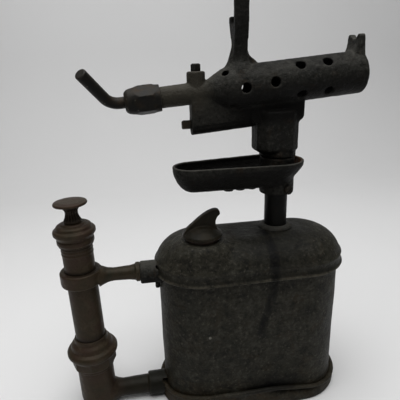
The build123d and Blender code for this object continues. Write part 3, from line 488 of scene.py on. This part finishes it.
def tank_material():
    """Old tank plate: dark grey-olive, finely mottled, stained below the post and at the base, with a
    painted highlight on the rolled seam and painted shade in the channel, the creases and the groove
    under the lip.
    """
    material, tree, shader = new_material("pitted_tank_plate")
    at = object_coords(tree)
    broad = noise_tex(tree, at, 0.045, 4, 0.6, 0.4)
    patchy = noise_tex(tree, at, 0.012, 6, 0.65, 0.8)
    speckle = noise_tex(tree, at, 0.0022, 5, 0.7)
    mottle = noise_tex(tree, at, 0.006, 5, 0.7)
    grain = noise_tex(tree, at, 0.0014, 3, 0.6)
    base = ramp(tree, broad, (0.34, (0.018, 0.0175, 0.0130)), (0.66, (0.025, 0.023, 0.0165)))
    rust = ramp(tree, patchy, (0.56, 0.0), (0.74, 0.6))
    base = mixed(tree, rust, base, (0.030, 0.020, 0.011))
    base = mixed(tree, ramp(tree, mottle, (0.36, 0.85), (0.50, 0.0)), base, (0.006, 0.006, 0.005))
    base = mixed(tree, ramp(tree, mottle, (0.53, 0.0), (0.66, 0.8)), base, (0.040, 0.039, 0.031))
    dots = ramp(tree, speckle, (0.56, 0.0), (0.66, 0.65))
    base = mixed(tree, dots, base, (0.075, 0.068, 0.054))
    dark_dots = ramp(tree, speckle, (0.34, 0.75), (0.44, 0.0))
    base = mixed(tree, dark_dots, base, (0.0035, 0.0035, 0.003))
    # painted highlight on the rolled seam, painted shade in the channel above it
    base = seam_highlight_and_channel_shade(tree, at, base)
    base = mixed(tree, base_stain(tree, at, patchy), base, (0.034, 0.022, 0.010))
    base = mixed(tree, post_soot(tree, at), base, (0.005, 0.005, 0.004))
    base = mixed(tree, drip_mask(tree, at), base, (0.002, 0.002, 0.002))
    # black residue on the lip and painted shade in the groove under it
    base = mixed(tree, lip_stain_and_groove_shade(tree, at, patchy), base, (0.003, 0.003, 0.003))
    worn = math_node(tree, "MULTIPLY", edge_wear(tree, 0.51, 0.60), 0.5)
    base = mixed(tree, worn, base, (0.046, 0.042, 0.032))
    # painted shade darkening the creases
    painted_crease_shade = math_node(tree, "MULTIPLY", crease_shade_mask(tree, 0.36, 0.48), 0.85)
    base = mixed(tree, painted_crease_shade, base, (0.003, 0.0025, 0.002))
    base = mixed(tree, flecks(tree, at), base, (0.150, 0.145, 0.125))
    tree.links.new(base, shader.inputs["Base Color"])
    tree.links.new(ramp(tree, patchy, (0.3, 0.42), (0.7, 0.62)), shader.inputs["Roughness"])
    shader.inputs["Metallic"].default_value = 0.0
    shader.inputs["Specular IOR Level"].default_value = 0.09
    relief = bump(tree, noise_tex(tree, at, 0.006, 4, 0.6), 0.0007, 0.6)
    relief = bump(tree, speckle, 0.0005, 0.8, relief)
    relief = bump(tree, grain, 0.0002, 0.8, relief)
    tree.links.new(relief, shader.inputs["Normal"])
    return material


def base_stain(tree, at, patchy):
    """Rust along the foot of the tank, strongest at the pump's end."""
    height = axis_value(tree, at, "Z")
    side = axis_value(tree, at, "X")
    low = ramp_along(tree, height, BASE_TOP_Z, (0.7, 0.9), (1.0, 0.25))
    broken = ramp(tree, patchy, (0.40, 0.05), (0.58, 1.0))
    left = ramp_along(tree, side, STAIN_SPAN, (0.1, 1.0), (0.6, 0.35), start=-STAIN_SPAN / 2)
    below = math_node(tree, "LESS_THAN", height, 1.6 * BASE_TOP_Z)
    return all_of(tree, low, broken, left, below)


def lip_stain_and_groove_shade(tree, at, patchy):
    """Black residue lying on the skirt's lip at the front right, and painted shade in the groove under
    it.
    """
    height = axis_value(tree, at, "Z")
    side = axis_value(tree, at, "X")
    away = math_node(tree, "DIVIDE", math_node(tree, "SUBTRACT", side, STAIN_X), STAIN_HALF_LENGTH)
    across = math_node(tree, "SUBTRACT", 1.0, math_node(tree, "MULTIPLY", away, away), clamp=True)
    up = math_node(tree, "DIVIDE", math_node(tree, "SUBTRACT", height, STAIN_FADE_Z), STAIN_FADE)
    fade = math_node(tree, "SUBTRACT", 1.0, up, clamp=True)
    above = math_node(tree, "GREATER_THAN", height, STAIN_LOW_Z)
    broken = ramp(tree, patchy, (0.35, 0.8), (0.55, 1.0))
    stain = all_of(tree, across, fade, above, broken)
    stain = math_node(tree, "MAXIMUM", stain, groove_shade_line(tree, side, height))
    front = math_node(tree, "LESS_THAN", axis_value(tree, at, "Y"), -0.01)
    return all_of(tree, stain, front)


def groove_shade_line(tree, side, height):
    """Painted shade: the thin black line in the open groove under the lip."""
    middle = math_node(tree, "MULTIPLY_ADD", side, -SLIT_SLOPE, SLIT_Z)
    away = math_node(tree, "ABSOLUTE", math_node(tree, "SUBTRACT", height, middle))
    thin = math_node(tree, "SUBTRACT", 1.0, math_node(tree, "MULTIPLY", away, SLIT_SHARPNESS), clamp=True)
    along = math_node(tree, "DIVIDE", math_node(tree, "SUBTRACT", side, GROOVE_X), GROOVE_HALF_LENGTH)
    ends = math_node(tree, "SUBTRACT", 1.2, math_node(tree, "MULTIPLY", along, along), clamp=True)
    return all_of(tree, thin, ends)


def seam_highlight_and_channel_shade(tree, at, base):
    """A painted highlight, pale, on the rolled edge at the seam and painted shade in the channel above
    it.
    """
    height = axis_value(tree, at, "Z")
    above = math_node(tree, "SUBTRACT", height, DOME_BASE_Z)
    # pale: a painted highlight on the rolled edge; dark: painted shade in the channel
    pale = ramp_along(tree, above, 20 * MM, (0.0, 0.0), (0.03, 0.9), (0.09, 0.8), (0.14, 0.0))
    dark = ramp_along(tree, above, 20 * MM, (0.12, 0.0), (0.17, 0.5), (0.30, 0.2), (0.38, 0.0))
    broken = ramp(tree, noise_tex(tree, at, 0.006, 4), (0.38, 0.1), (0.56, 0.8))
    base = mixed(tree, all_of(tree, pale, broken), base, (0.072, 0.064, 0.048))
    return mixed(tree, dark, base, (0.006, 0.006, 0.005))


def drip_mask(tree, at):
    """A dark run that starts under the post and goes down the front of the tank."""
    wander = noise_tex(tree, at, 0.020, 3, 0.6)
    height = axis_value(tree, at, "Z")
    side = axis_value(tree, at, "X")
    slope = math_node(tree, "MULTIPLY", math_node(tree, "SUBTRACT", height, RUN_TURN_Z), RUN_SLOPE)
    centre = math_node(tree, "MINIMUM", slope, RUN_HEAD_X)
    shift = math_node(tree, "MULTIPLY_ADD", wander, RUN_WANDER, -RUN_WANDER / 2)
    centre = math_node(tree, "ADD", centre, shift)
    away = math_node(tree, "ABSOLUTE", math_node(tree, "SUBTRACT", side, centre))
    width = math_node(tree, "MULTIPLY_ADD", noise_tex(tree, at, 0.006, 4), RUN_WIDTH, RUN_LEAST_WIDTH)
    across = math_node(tree, "SUBTRACT", 1.0, math_node(tree, "DIVIDE", away, width), clamp=True)
    across = math_node(tree, "POWER", across, 0.30)
    long = ramp_along(tree, height, STAIN_SPAN, (0.36, 0.0), (0.42, 0.85), (0.84, 1.0))
    front = math_node(tree, "LESS_THAN", axis_value(tree, at, "Y"), -0.006)
    broken = ramp(tree, noise_tex(tree, at, 0.0045, 4, 0.7), (0.36, 0.35), (0.50, 1.0))
    return all_of(tree, across, long, front, broken)


def brass_material(name, *tones):
    """Brass gone brown: tones are dark, middle, light and patches, with metal showing on the edges, and
    painted shade in bands on the pump and in the creases.
    """
    material, tree, shader = new_material(name)
    at = object_coords(tree)
    broad = noise_tex(tree, at, 0.022, 4, 0.6, 0.5)
    patchy = noise_tex(tree, at, 0.006, 5, 0.6, 0.5)
    fine = noise_tex(tree, at, 0.0012, 3, 0.6)
    base = ramp(tree, broad, (0.30, tones[0]), (0.48, tones[1]), (0.70, tones[2]))
    base = mixed(tree, ramp(tree, patchy, (0.5, 0.0), (0.72, 0.6)), base, tones[3])
    base = mixed(tree, ramp(tree, fine, (0.3, 0.5), (0.45, 0.0)), base, (0.012, 0.009, 0.006))
    base = mixed(tree, low_arm_stain(tree, at), base, (0.010, 0.010, 0.007))
    # painted shade in bands on the pump
    base = mixed(tree, pump_shade_bands(tree, at, patchy), base, (0.006, 0.005, 0.004))
    worn = math_node(tree, "MULTIPLY", edge_wear(tree, 0.51, 0.60), 0.6)
    base = mixed(tree, worn, base, (0.10, 0.074, 0.045))
    # painted shade darkening the creases
    painted_crease_shade = math_node(tree, "MULTIPLY", crease_shade_mask(tree, 0.38, 0.49), 0.85)
    base = mixed(tree, painted_crease_shade, base, (0.008, 0.006, 0.004))
    tree.links.new(base, shader.inputs["Base Color"])
    tree.links.new(ramp(tree, patchy, (0.3, 0.38), (0.7, 0.58)), shader.inputs["Roughness"])
    shader.inputs["Metallic"].default_value = 0.2
    shader.inputs["Specular IOR Level"].default_value = 0.12
    relief = bump(tree, noise_tex(tree, at, 0.004, 4, 0.6), 0.0003, 0.5)
    relief = bump(tree, fine, 0.0001, 0.7, relief)
    tree.links.new(relief, shader.inputs["Normal"])
    return material


def pump_shade_bands(tree, at, patchy):
    """Painted shade in dark bands on the pump: on the collar, on the clamp ring, under the cap and on the
    knob's waist.
    """
    bands = ramp_along(
        tree,
        axis_value(tree, at, "Z"),
        SHADE_BAND_SPAN,
        (0.315, 0.0),
        (0.322, 0.85),
        (0.350, 0.0),
        (0.601, 0.0),
        (0.604, 0.9),
        (0.618, 0.0),
        (0.690, 0.0),
        (0.704, 0.6),
        (0.712, 0.0),
        (KNOB_FOOT_SHARE, 0.0),
        (KNOB_FOOT_SHARE + 0.01, 0.75),
        (KNOB_NECK_SHARE, 0.75),
        (KNOB_NECK_SHARE + 0.02, 0.0),
    )
    return all_of(tree, bands, ramp(tree, patchy, (0.3, 0.6), (0.6, 1.0)))


def low_arm_stain(tree, at):
    """Dark grease on the lower arm, between the pump's foot and the tank."""
    side = axis_value(tree, at, "X")
    along = ramp_along(tree, side, 100 * MM, (0.34, 0.0), (0.46, 0.75), start=-150 * MM)
    low = math_node(tree, "LESS_THAN", axis_value(tree, at, "Z"), 0.024)
    return all_of(tree, along, low)


def steel_material(name, dark, middle, brown, wear):
    """Dull, oxidised steel with a thin brown film, bare by `wear` on its edges, with painted shade on the
    faces that look down.
    """
    material, tree, shader = new_material(name)
    at = object_coords(tree)
    patchy = noise_tex(tree, at, 0.007, 5, 0.65, 0.5)
    fine = noise_tex(tree, at, 0.0010, 3, 0.6)
    base = ramp(tree, patchy, (0.32, dark), (0.52, middle), (0.72, brown))
    # painted shade on the faces that look down
    base = painted_facing_light(tree, base, 0.8, 0.3, 0.0)
    worn = math_node(tree, "MULTIPLY", edge_wear(tree, 0.51, 0.60), wear)
    base = mixed(tree, worn, base, (0.085, 0.078, 0.066))
    # painted shade darkening the creases
    painted_crease_shade = math_node(tree, "MULTIPLY", crease_shade_mask(tree, 0.38, 0.49), 0.8)
    base = mixed(tree, painted_crease_shade, base, (0.008, 0.006, 0.005))
    tree.links.new(base, shader.inputs["Base Color"])
    tree.links.new(ramp(tree, patchy, (0.3, 0.40), (0.7, 0.60)), shader.inputs["Roughness"])
    shader.inputs["Metallic"].default_value = 0.2
    shader.inputs["Specular IOR Level"].default_value = 0.12
    relief = bump(tree, noise_tex(tree, at, 0.003, 4, 0.6), 0.00025, 0.5)
    relief = bump(tree, fine, 0.00009, 0.7, relief)
    tree.links.new(relief, shader.inputs["Normal"])
    return material


def leather_material():
    material, tree, shader = new_material("oiled_leather")
    at = object_coords(tree)
    patchy = noise_tex(tree, at, 0.004, 5, 0.6)
    base = ramp(tree, patchy, (0.3, (0.020, 0.011, 0.006)), (0.7, (0.060, 0.034, 0.018)))
    tree.links.new(base, shader.inputs["Base Color"])
    tree.links.new(ramp(tree, patchy, (0.3, 0.45), (0.7, 0.7)), shader.inputs["Roughness"])
    wrinkles = cells(tree, at, 0.0009)
    tree.links.new(bump(tree, wrinkles, 0.0001, 0.8), shader.inputs["Normal"])
    return material


def cotton_material():
    material, tree, shader = new_material("cotton_wicking")
    at = object_coords(tree)
    wave = tree.nodes.new("ShaderNodeTexWave")
    wave.bands_direction = "DIAGONAL"
    wave.inputs["Scale"].default_value = 260.0
    wave.inputs["Distortion"].default_value = 2.0
    tree.links.new(at, wave.inputs["Vector"])
    strands = wave.outputs["Fac"]
    base = ramp(tree, strands, (0.2, (0.10, 0.08, 0.055)), (0.8, (0.30, 0.25, 0.18)))
    tree.links.new(base, shader.inputs["Base Color"])
    tree.links.new(ramp(tree, strands, (0.0, 0.95), (1.0, 0.8)), shader.inputs["Roughness"])
    tree.links.new(bump(tree, strands, 0.0003, 0.9), shader.inputs["Normal"])
    return material


MATERIALS = {
    "cast_iron": cast_iron_material(),
    "tank_steel": tank_material(),
    "brass": brass_material(
        "patinated_brass",
        (0.020, 0.019, 0.012),
        (0.034, 0.024, 0.014),
        (0.038, 0.022, 0.017),
        (0.060, 0.046, 0.029),
    ),
    "steel": steel_material(
        "oxidised_steel",
        (0.010, 0.010, 0.009),
        (0.019, 0.017, 0.014),
        (0.034, 0.024, 0.015),
        wear=0.6,
    ),
    "leather": leather_material(),
    "cotton": cotton_material(),
}
SOOTY_BRASS = brass_material(
    "sooty_brass",
    (0.005, 0.005, 0.003),
    (0.009, 0.008, 0.005),
    (0.015, 0.012, 0.007),
    (0.022, 0.017, 0.010),
)
# a near-black copy of the steel for the post: painted shade, as the post stands in the pan's shadow
SHADED_STEEL = steel_material(
    "shaded_steel",
    (0.003, 0.003, 0.003),
    (0.005, 0.005, 0.004),
    (0.010, 0.007, 0.005),
    wear=0.1,
)
SLOT_OF = {part["node"]: part["material_slot"] for part in frame["record"]["subparts"]}
for node_name, node in frame["nodes"].items():
    node.data.materials.clear()
    node.data.materials.append(MATERIALS[SLOT_OF[node_name]])


# =====================================================================
# Mesh helpers
# =====================================================================
def add_piece(name, mesh, slot, body, *nodes):
    """Put a finished mesh in the scene, in place of the CAD nodes it stands for.
"""
    piece = bpy.data.objects.new(name, mesh)
    bpy.context.scene.collection.objects.link(piece)
    mesh.materials.clear()
    mesh.materials.append(MATERIALS[slot])
    for face in mesh.polygons:
        face.use_smooth = True
    if body:
        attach(piece, body)
    if nodes:
        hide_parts(*nodes)
    return piece


def joined_mesh(name, nodes):
    """One mesh holding the faces of several CAD nodes."""
    together = bmesh.new()
    for node_name in nodes:
        together.from_mesh(frame["nodes"][node_name].data)
    mesh = bpy.data.meshes.new(name)
    together.to_mesh(mesh)
    together.free()
    return mesh


def cloud_texture(name, size):
    texture = bpy.data.textures.new(name, "CLOUDS")
    texture.noise_scale = size
    texture.noise_depth = 2
    return texture


def baked(piece):
    """The piece's mesh with its modifiers applied."""
    depsgraph = bpy.context.evaluated_depsgraph_get()
    return bpy.data.meshes.new_from_object(piece.evaluated_get(depsgraph))


def refine(name, nodes, slot, body, voxel, smooth, lump, lump_size=4 * MM):
    """Rebuild CAD nodes as one skin with rounded edges and melted joints.

    voxel is the mesh size, smooth the number of rounding passes, lump how far the surface
    swells and sinks and lump_size how broad the swellings are, in metres except the passes.
    """
    temporary = bpy.data.objects.new(name + "_work", joined_mesh(name, nodes))
    bpy.context.scene.collection.objects.link(temporary)
    remesh = temporary.modifiers.new("Remesh", "REMESH")
    remesh.mode = "VOXEL"
    remesh.voxel_size = voxel
    soften = temporary.modifiers.new("Soften", "SMOOTH")
    soften.factor = 0.5
    soften.iterations = smooth
    if lump:
        swell = temporary.modifiers.new("Swell", "DISPLACE")
        swell.texture = cloud_texture(name + "_clouds", lump_size)
        swell.strength = lump
        swell.mid_level = 0.5
    mesh = baked(temporary)
    bpy.data.objects.remove(temporary)
    mesh.name = name
    return add_piece(name, mesh, slot, body, *nodes)


def melt(piece, place, radius, passes):
    """Extra rounding of a skin near one place, for the big fillets of a casting."""
    skin = bmesh.new()
    skin.from_mesh(piece.data)
    centre = Vector(place)
    near = [vert for vert in skin.verts if (vert.co - centre).length < radius]
    axes = {"use_axis_x": True, "use_axis_y": True, "use_axis_z": True}
    for _ in range(passes):
        bmesh.ops.smooth_vert(skin, verts=near, factor=0.5, **axes)
    skin.to_mesh(piece.data)
    skin.free()


def ease(value, low, high):
    """0 below low, 1 above high, smooth between."""
    share = min(1.0, max(0.0, (value - low) / (high - low)))
    return share * share * (3 - 2 * share)


def flute(piece):
    """Cut shallow upright flutes into the waist of the pump knob."""
    points = piece.data.vertices
    low = min(vert.co.z for vert in points)
    high = max(vert.co.z for vert in points)
    for vert in points:
        share = (vert.co.z - low) / (high - low)
        centre_x = KNOB_FOOT_X - (vert.co.z - low) * PUMP_SLOPE
        out = Vector((vert.co.x - centre_x, vert.co.y - KNOB_Y, 0.0))
        depth = FLUTE_DEPTH * ease(share, 0.04, 0.2) * (1 - ease(share, 0.60, 0.76))
        wave = 0.5 - 0.5 * math.cos(FLUTES * math.atan2(out.y, out.x))
        vert.co -= out.normalized() * depth * wave
    piece.data.update()


def ring_mesh(name, rings, capped=(True, True)):
    """Skin over rings of points, all with the same number of points, capped at its ends if asked."""
    skin = bmesh.new()
    rows = [[skin.verts.new(point) for point in ring] for ring in rings]
    count = len(rings[0])
    for lower, upper in zip(rows, rows[1:]):
        for i in range(count):
            j = (i + 1) % count
            skin.faces.new((lower[i], lower[j], upper[j], upper[i]))
    if capped[0]:
        skin.faces.new(list(reversed(rows[0])))
    if capped[1]:
        skin.faces.new(rows[-1])
    bmesh.ops.remove_doubles(skin, verts=skin.verts, dist=0.01 * MM)
    bmesh.ops.recalc_face_normals(skin, faces=skin.faces)
    mesh = bpy.data.meshes.new(name)
    skin.to_mesh(mesh)
    skin.free()
    return mesh


# =====================================================================
# Tank
# =====================================================================
def stadium_points(step):
    """(x, y, outward x, outward y) around the tank's round-ended outline, the same front and back."""
    along = round(2 * HALF_STRAIGHT / step)
    around = round(math.pi * HALF_WIDTH / step)
    points = []
    for side in (-1, 1):
        for i in range(along):
            x = side * (2 * HALF_STRAIGHT * i / along - HALF_STRAIGHT)
            points.append((-x, side * HALF_WIDTH, 0.0, side))
        for i in range(around):
            turn = math.pi * (i / around + side / 2)
            out = (math.cos(turn), math.sin(turn))
            points.append((-side * HALF_STRAIGHT + out[0] * HALF_WIDTH, out[1] * HALF_WIDTH, *out))
    return points


OUTLINE = stadium_points(TANK_STEP)


def dent(x, y, z, size, depth, seed):
    """Signed unevenness of hammered and pitted plate, about `size` metres across."""
    return depth * noise.noise(Vector((x / size + seed, y / size, z / size)))


def outline_ring(z, outset, waves=()):
    """One ring of the tank's outline at height z, pushed out by outset and by noise."""
    ring = []
    for x, y, out_x, out_y in OUTLINE:
        push = outset
        for size, depth, seed in waves:
            push += dent(x, y, z, size, depth, seed)
        ring.append((x + out_x * push, y + out_y * push, z))
    return ring


def frange(start, stop, step):
    """Evenly spaced values from start to stop, about step apart."""
    count = max(1, round(abs(stop - start) / step))
    return [start + (stop - start) * i / count for i in range(count + 1)]


def tank_shell():
    """The tank's upright wall, spread a little at the foot."""
    rings = []
    for z in frange(BODY_LOW.z, BODY_HIGH.z, TANK_STEP):
        spread = SHELL_SPREAD * max(0.0, (SHELL_SPREAD_Z - z) / SHELL_SPREAD_Z) ** 2
        rings.append(outline_ring(z, spread - SHELL_INSET, PLATE_WAVES))
    add_piece("tank_shell", ring_mesh("tank_shell", rings), "tank_steel", "lamp", "tank_body")


def bead(z, centre, height, width):
    """How far a rolled bead stands out at height z."""
    return height * math.exp(-(((z - centre) / width) ** 2))


def dome_profile():
    """(z, outset) of the dome from the seam up over the shoulder to the middle."""
    profile = [(DOME_BASE_Z + up * MM, out * MM) for up, out in SEAM_CURL]
    spring_z = DOME_TOP_Z - DOME_SHOULDER
    for z in frange(SEAM_FOOT_Z, spring_z, SEAM_STEP):
        profile.append((z, DOME_OVERHANG + bead(z, *SEAM_BEAD)))
    for angle in frange(SHOULDER_STEP, math.pi / 2, SHOULDER_STEP):
        z = spring_z + DOME_SHOULDER * math.sin(angle)
        outset = DOME_OVERHANG - DOME_SHOULDER * (1 - math.cos(angle))
        outset += bead(z, *UPPER_BEAD) + bead(z, *CHANNEL)
        profile.append((z, outset))
    for outset in frange(DOME_OVERHANG - DOME_SHOULDER - TANK_STEP, -HALF_WIDTH, TANK_STEP):
        profile.append((DOME_TOP_Z, outset))
    return profile


def raised(x, y, z, place, top_z, core, limit):
    """Height z lifted smoothly up to top_z around a boss: fully inside core, not beyond limit."""
    away = math.hypot(x - place[0], y - place[1])
    return z + (top_z - z) * (1 - ease(away, core, limit))


def tank_dome():
    """The tank's lid, raised around the post and the filler."""
    rings = []
    for z, outset in dome_profile():
        ring = []
        waves = PLATE_WAVES if outset > -HALF_WIDTH else ()
        high = ease(z, LIFT_LOW_Z, LIFT_HIGH_Z)
        for x, y, ring_z in outline_ring(z, outset, waves):
            lifted = ring_z
            for boss in DOME_BOSSES:
                lifted = raised(x, y, lifted, *boss)
            ring.append((x, y, ring_z + high * (lifted - ring_z)))
        rings.append(ring)
    mesh = ring_mesh("tank_dome", rings, (True, False))
    add_piece("tank_dome", mesh, "tank_steel", "lamp", "tank_top")


def lip_height(x, y):
    """Height of the skirt's lip: lower at the tank's two ends, and a little wavy."""
    height = LIP_TOP_Z
    for end, drop, start, stop in LIP_DROPS:
        height -= drop * ease(end * x, start, stop)
    return height + dent(x, y, 0.0, *LIP_WAVE)


def groove_depth(x, y):
    """Depth of the open groove under the lip, at the front right only."""
    if y > 0:
        return 0.0
    return GROOVE_DEPTH * math.exp(-(((x - GROOVE_X) / GROOVE_HALF_LENGTH) ** 4))


def tank_skirt():
    """The band round the tank's foot, with its wavy lip and open groove."""
    rings = []
    for share, outset, groove in SKIRT_PROFILE:
        ring = []
        for x, y, out_x, out_y in OUTLINE:
            push = outset * MM - groove * groove_depth(x, y)
            push += sum(dent(x, y, share * BASE_TOP_Z, *wave) for wave in PLATE_WAVES)
            ring.append((x + out_x * push, y + out_y * push, share * lip_height(x, y)))
        rings.append(ring)
    rings.append(outline_ring(BODY_LOW.z, -SKIRT_TUCK))
    add_piece("tank_skirt", ring_mesh("tank_skirt", rings), "tank_steel", "lamp", "tank_base")


tank_shell()
tank_dome()
tank_skirt()

# =====================================================================
# Castings and turned parts rebuilt with rounded edges
# =====================================================================
ROUNDED_PARTS = (
    # piece, CAD node, slot, body, mesh size in mm, rounding passes, unevenness and its size in mm
    ("drip_pan_skin", "drip_pan", "cast_iron", "drip_pan", 0.5, 5, 0.3, 4),
    ("post_pipe", "standpipe", "steel", "lamp", 0.6, 3, 0.15, 4),
    ("post_boss", "post_flange", "cast_iron", "lamp", 0.35, 6, 0.2, 4),
    ("seat_ring", "filler_seat", "tank_steel", "lamp", 0.4, 4, 0.1, 4),
    ("fin_cap", "filler_cap", "brass", "filler_cap", 0.35, 9, 0.25, 4),
    ("upper_socket", "upper_lug", "cast_iron", "lamp", 0.4, 5, 0.25, 4),
    ("lower_socket", "lower_lug", "cast_iron", "lamp", 0.4, 5, 0.25, 4),
    ("clamp_bracket", "clamp_arm", "brass", "lamp", 0.4, 8, 0.2, 4),
    ("pump_foot", "pump_base", "brass", "lamp", 0.45, 6, 0.2, 4),
    ("union_nut", "union_collar", "brass", "lamp", 0.35, 4, 0.12, 4),
    ("barrel_tube", "pump_barrel", "brass", "lamp", 0.5, 3, 0.12, 4),
    ("barrel_cap", "pump_cap", "brass", "lamp", 0.35, 4, 0.1, 4),
    ("pump_button", "pump_knob", "brass", "plunger", 0.3, 3, 0.08, 4),
    ("gland_nut", "packing_nut", "steel", "lamp", 0.3, 9, 0.25, 4),
    ("hand_rod", "valve_rod", "steel", "valve_rod", 0.35, 3, 0.1, 4),
    ("riser_plug", "top_plug", "steel", "lamp", 0.22, 4, 0.1, 2),
    ("passage_plug", "side_plug", "steel", "lamp", 0.22, 4, 0.1, 2),
    ("pan_screw", "pan_clamp_screw", "steel", "drip_pan", 0.2, 3, 0.0, 4),
)
BURNER_NODES = ["burner_casting", "flame_tube", "iron_hook", "iron_fork"]


def burner():
    """The burner's casting, tube, hook and fork as one iron skin with big fillets."""
    body = refine("burner_body", BURNER_NODES, "cast_iron", "lamp", 0.55 * MM, 7, 0.35 * MM)
    for place, radius, passes in BURNER_FILLETS:
        melt(body, place, radius, passes)


burner()
rounded = {}
for name, node_name, slot, body, voxel, passes, lump, lump_size in ROUNDED_PARTS:
    rounded[name] = refine(
        name, [node_name], slot, body, voxel * MM, passes, lump * MM, lump_size * MM
    )
flute(rounded["pump_button"])
# the post gets the near-black steel: painted shade under the pan
rounded["post_pipe"].data.materials[0] = SHADED_STEEL
for name in ("fin_cap", "lower_socket"):
    rounded[name].data.materials[0] = SOOTY_BRASS


def coil_spring():
    """The check valve's spring, whose one end stays on its seat while the other moves with the disc; here
    it is one fixed mesh.
    """
    mesh = joined_mesh("coil_spring", ["check_spring"])
    piece = add_piece("coil_spring", mesh, "steel", None, "check_spring")
    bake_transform(piece)


coil_spring()


# =====================================================================
# Floor, light and camera
# =====================================================================
def stage_material():
    material, tree, shader = new_material("pale_paper")
    at = object_coords(tree)
    tone = noise_tex(tree, at, 0.4, 2)
    tree.links.new(ramp(tree, tone, (0.3, 0.78), (0.7, 0.80)), shader.inputs["Base Color"])
    shader.inputs["Roughness"].default_value = 0.9
    return material


def sweep():
    """A pale floor that curves up into a backdrop."""
    line = [(SWEEP_FRONT, 0.0), (SWEEP_BACK, 0.0)]
    for angle in frange(0.0, math.pi / 2, math.pi / 32):
        y = SWEEP_BACK + SWEEP_RADIUS * math.sin(angle)
        line.append((y, SWEEP_RADIUS * (1 - math.cos(angle))))
    line.append((SWEEP_BACK + SWEEP_RADIUS, SWEEP_HEIGHT))
    skin = bmesh.new()
    left = [skin.verts.new((-SWEEP_HALF_WIDTH, y, z)) for y, z in line]
    right = [skin.verts.new((SWEEP_HALF_WIDTH, y, z)) for y, z in line]
    for i in range(len(line) - 1):
        skin.faces.new((left[i], right[i], right[i + 1], left[i + 1]))
    mesh = bpy.data.meshes.new("sweep")
    skin.to_mesh(mesh)
    skin.free()
    mesh.materials.append(stage_material())
    for face in mesh.polygons:
        face.use_smooth = True
    backdrop = bpy.data.objects.new("sweep", mesh)
    bpy.context.scene.collection.objects.link(backdrop)


def softbox(name, place, target, size, watts):
    """A rectangular area light at place, turned to face target."""
    data = bpy.data.lights.new(name, "AREA")
    data.shape = "RECTANGLE"
    data.size = size[0]
    data.size_y = size[1]
    data.energy = watts
    light = bpy.data.objects.new(name, data)
    bpy.context.scene.collection.objects.link(light)
    light.location = place
    light.rotation_euler = (Vector(target) - Vector(place)).to_track_quat("-Z", "Y").to_euler()


def lights():
    softbox("overhead", (-0.12, -0.14, 0.95), (-0.04, -0.04, 0.0), size=(1.0, 0.8), watts=9.3)
    softbox("backdrop_wash", (0.95, 0.2, 1.7), (0.95, 0.85, 0.85), size=(1.8, 0.6), watts=6.6)
    world = bpy.data.worlds.new("studio")
    bpy.context.scene.world = world
    world.use_nodes = True
    background = world.node_tree.nodes["Background"]
    background.inputs["Color"].default_value = (WORLD_GREY, WORLD_GREY, WORLD_GREY, 1.0)
    bpy.context.scene.view_settings.view_transform = "Standard"


def camera():
    data = bpy.data.cameras.new("camera")
    data.lens = CAMERA_LENS
    data.sensor_width = 36.0
    data.clip_start = 0.01
    view = bpy.data.objects.new("camera", data)
    bpy.context.scene.collection.objects.link(view)
    view.location = CAMERA_PLACE
    view.rotation_euler = [math.radians(a) for a in CAMERA_TURN]
    bpy.context.scene.camera = view


sweep()
lights()
camera()
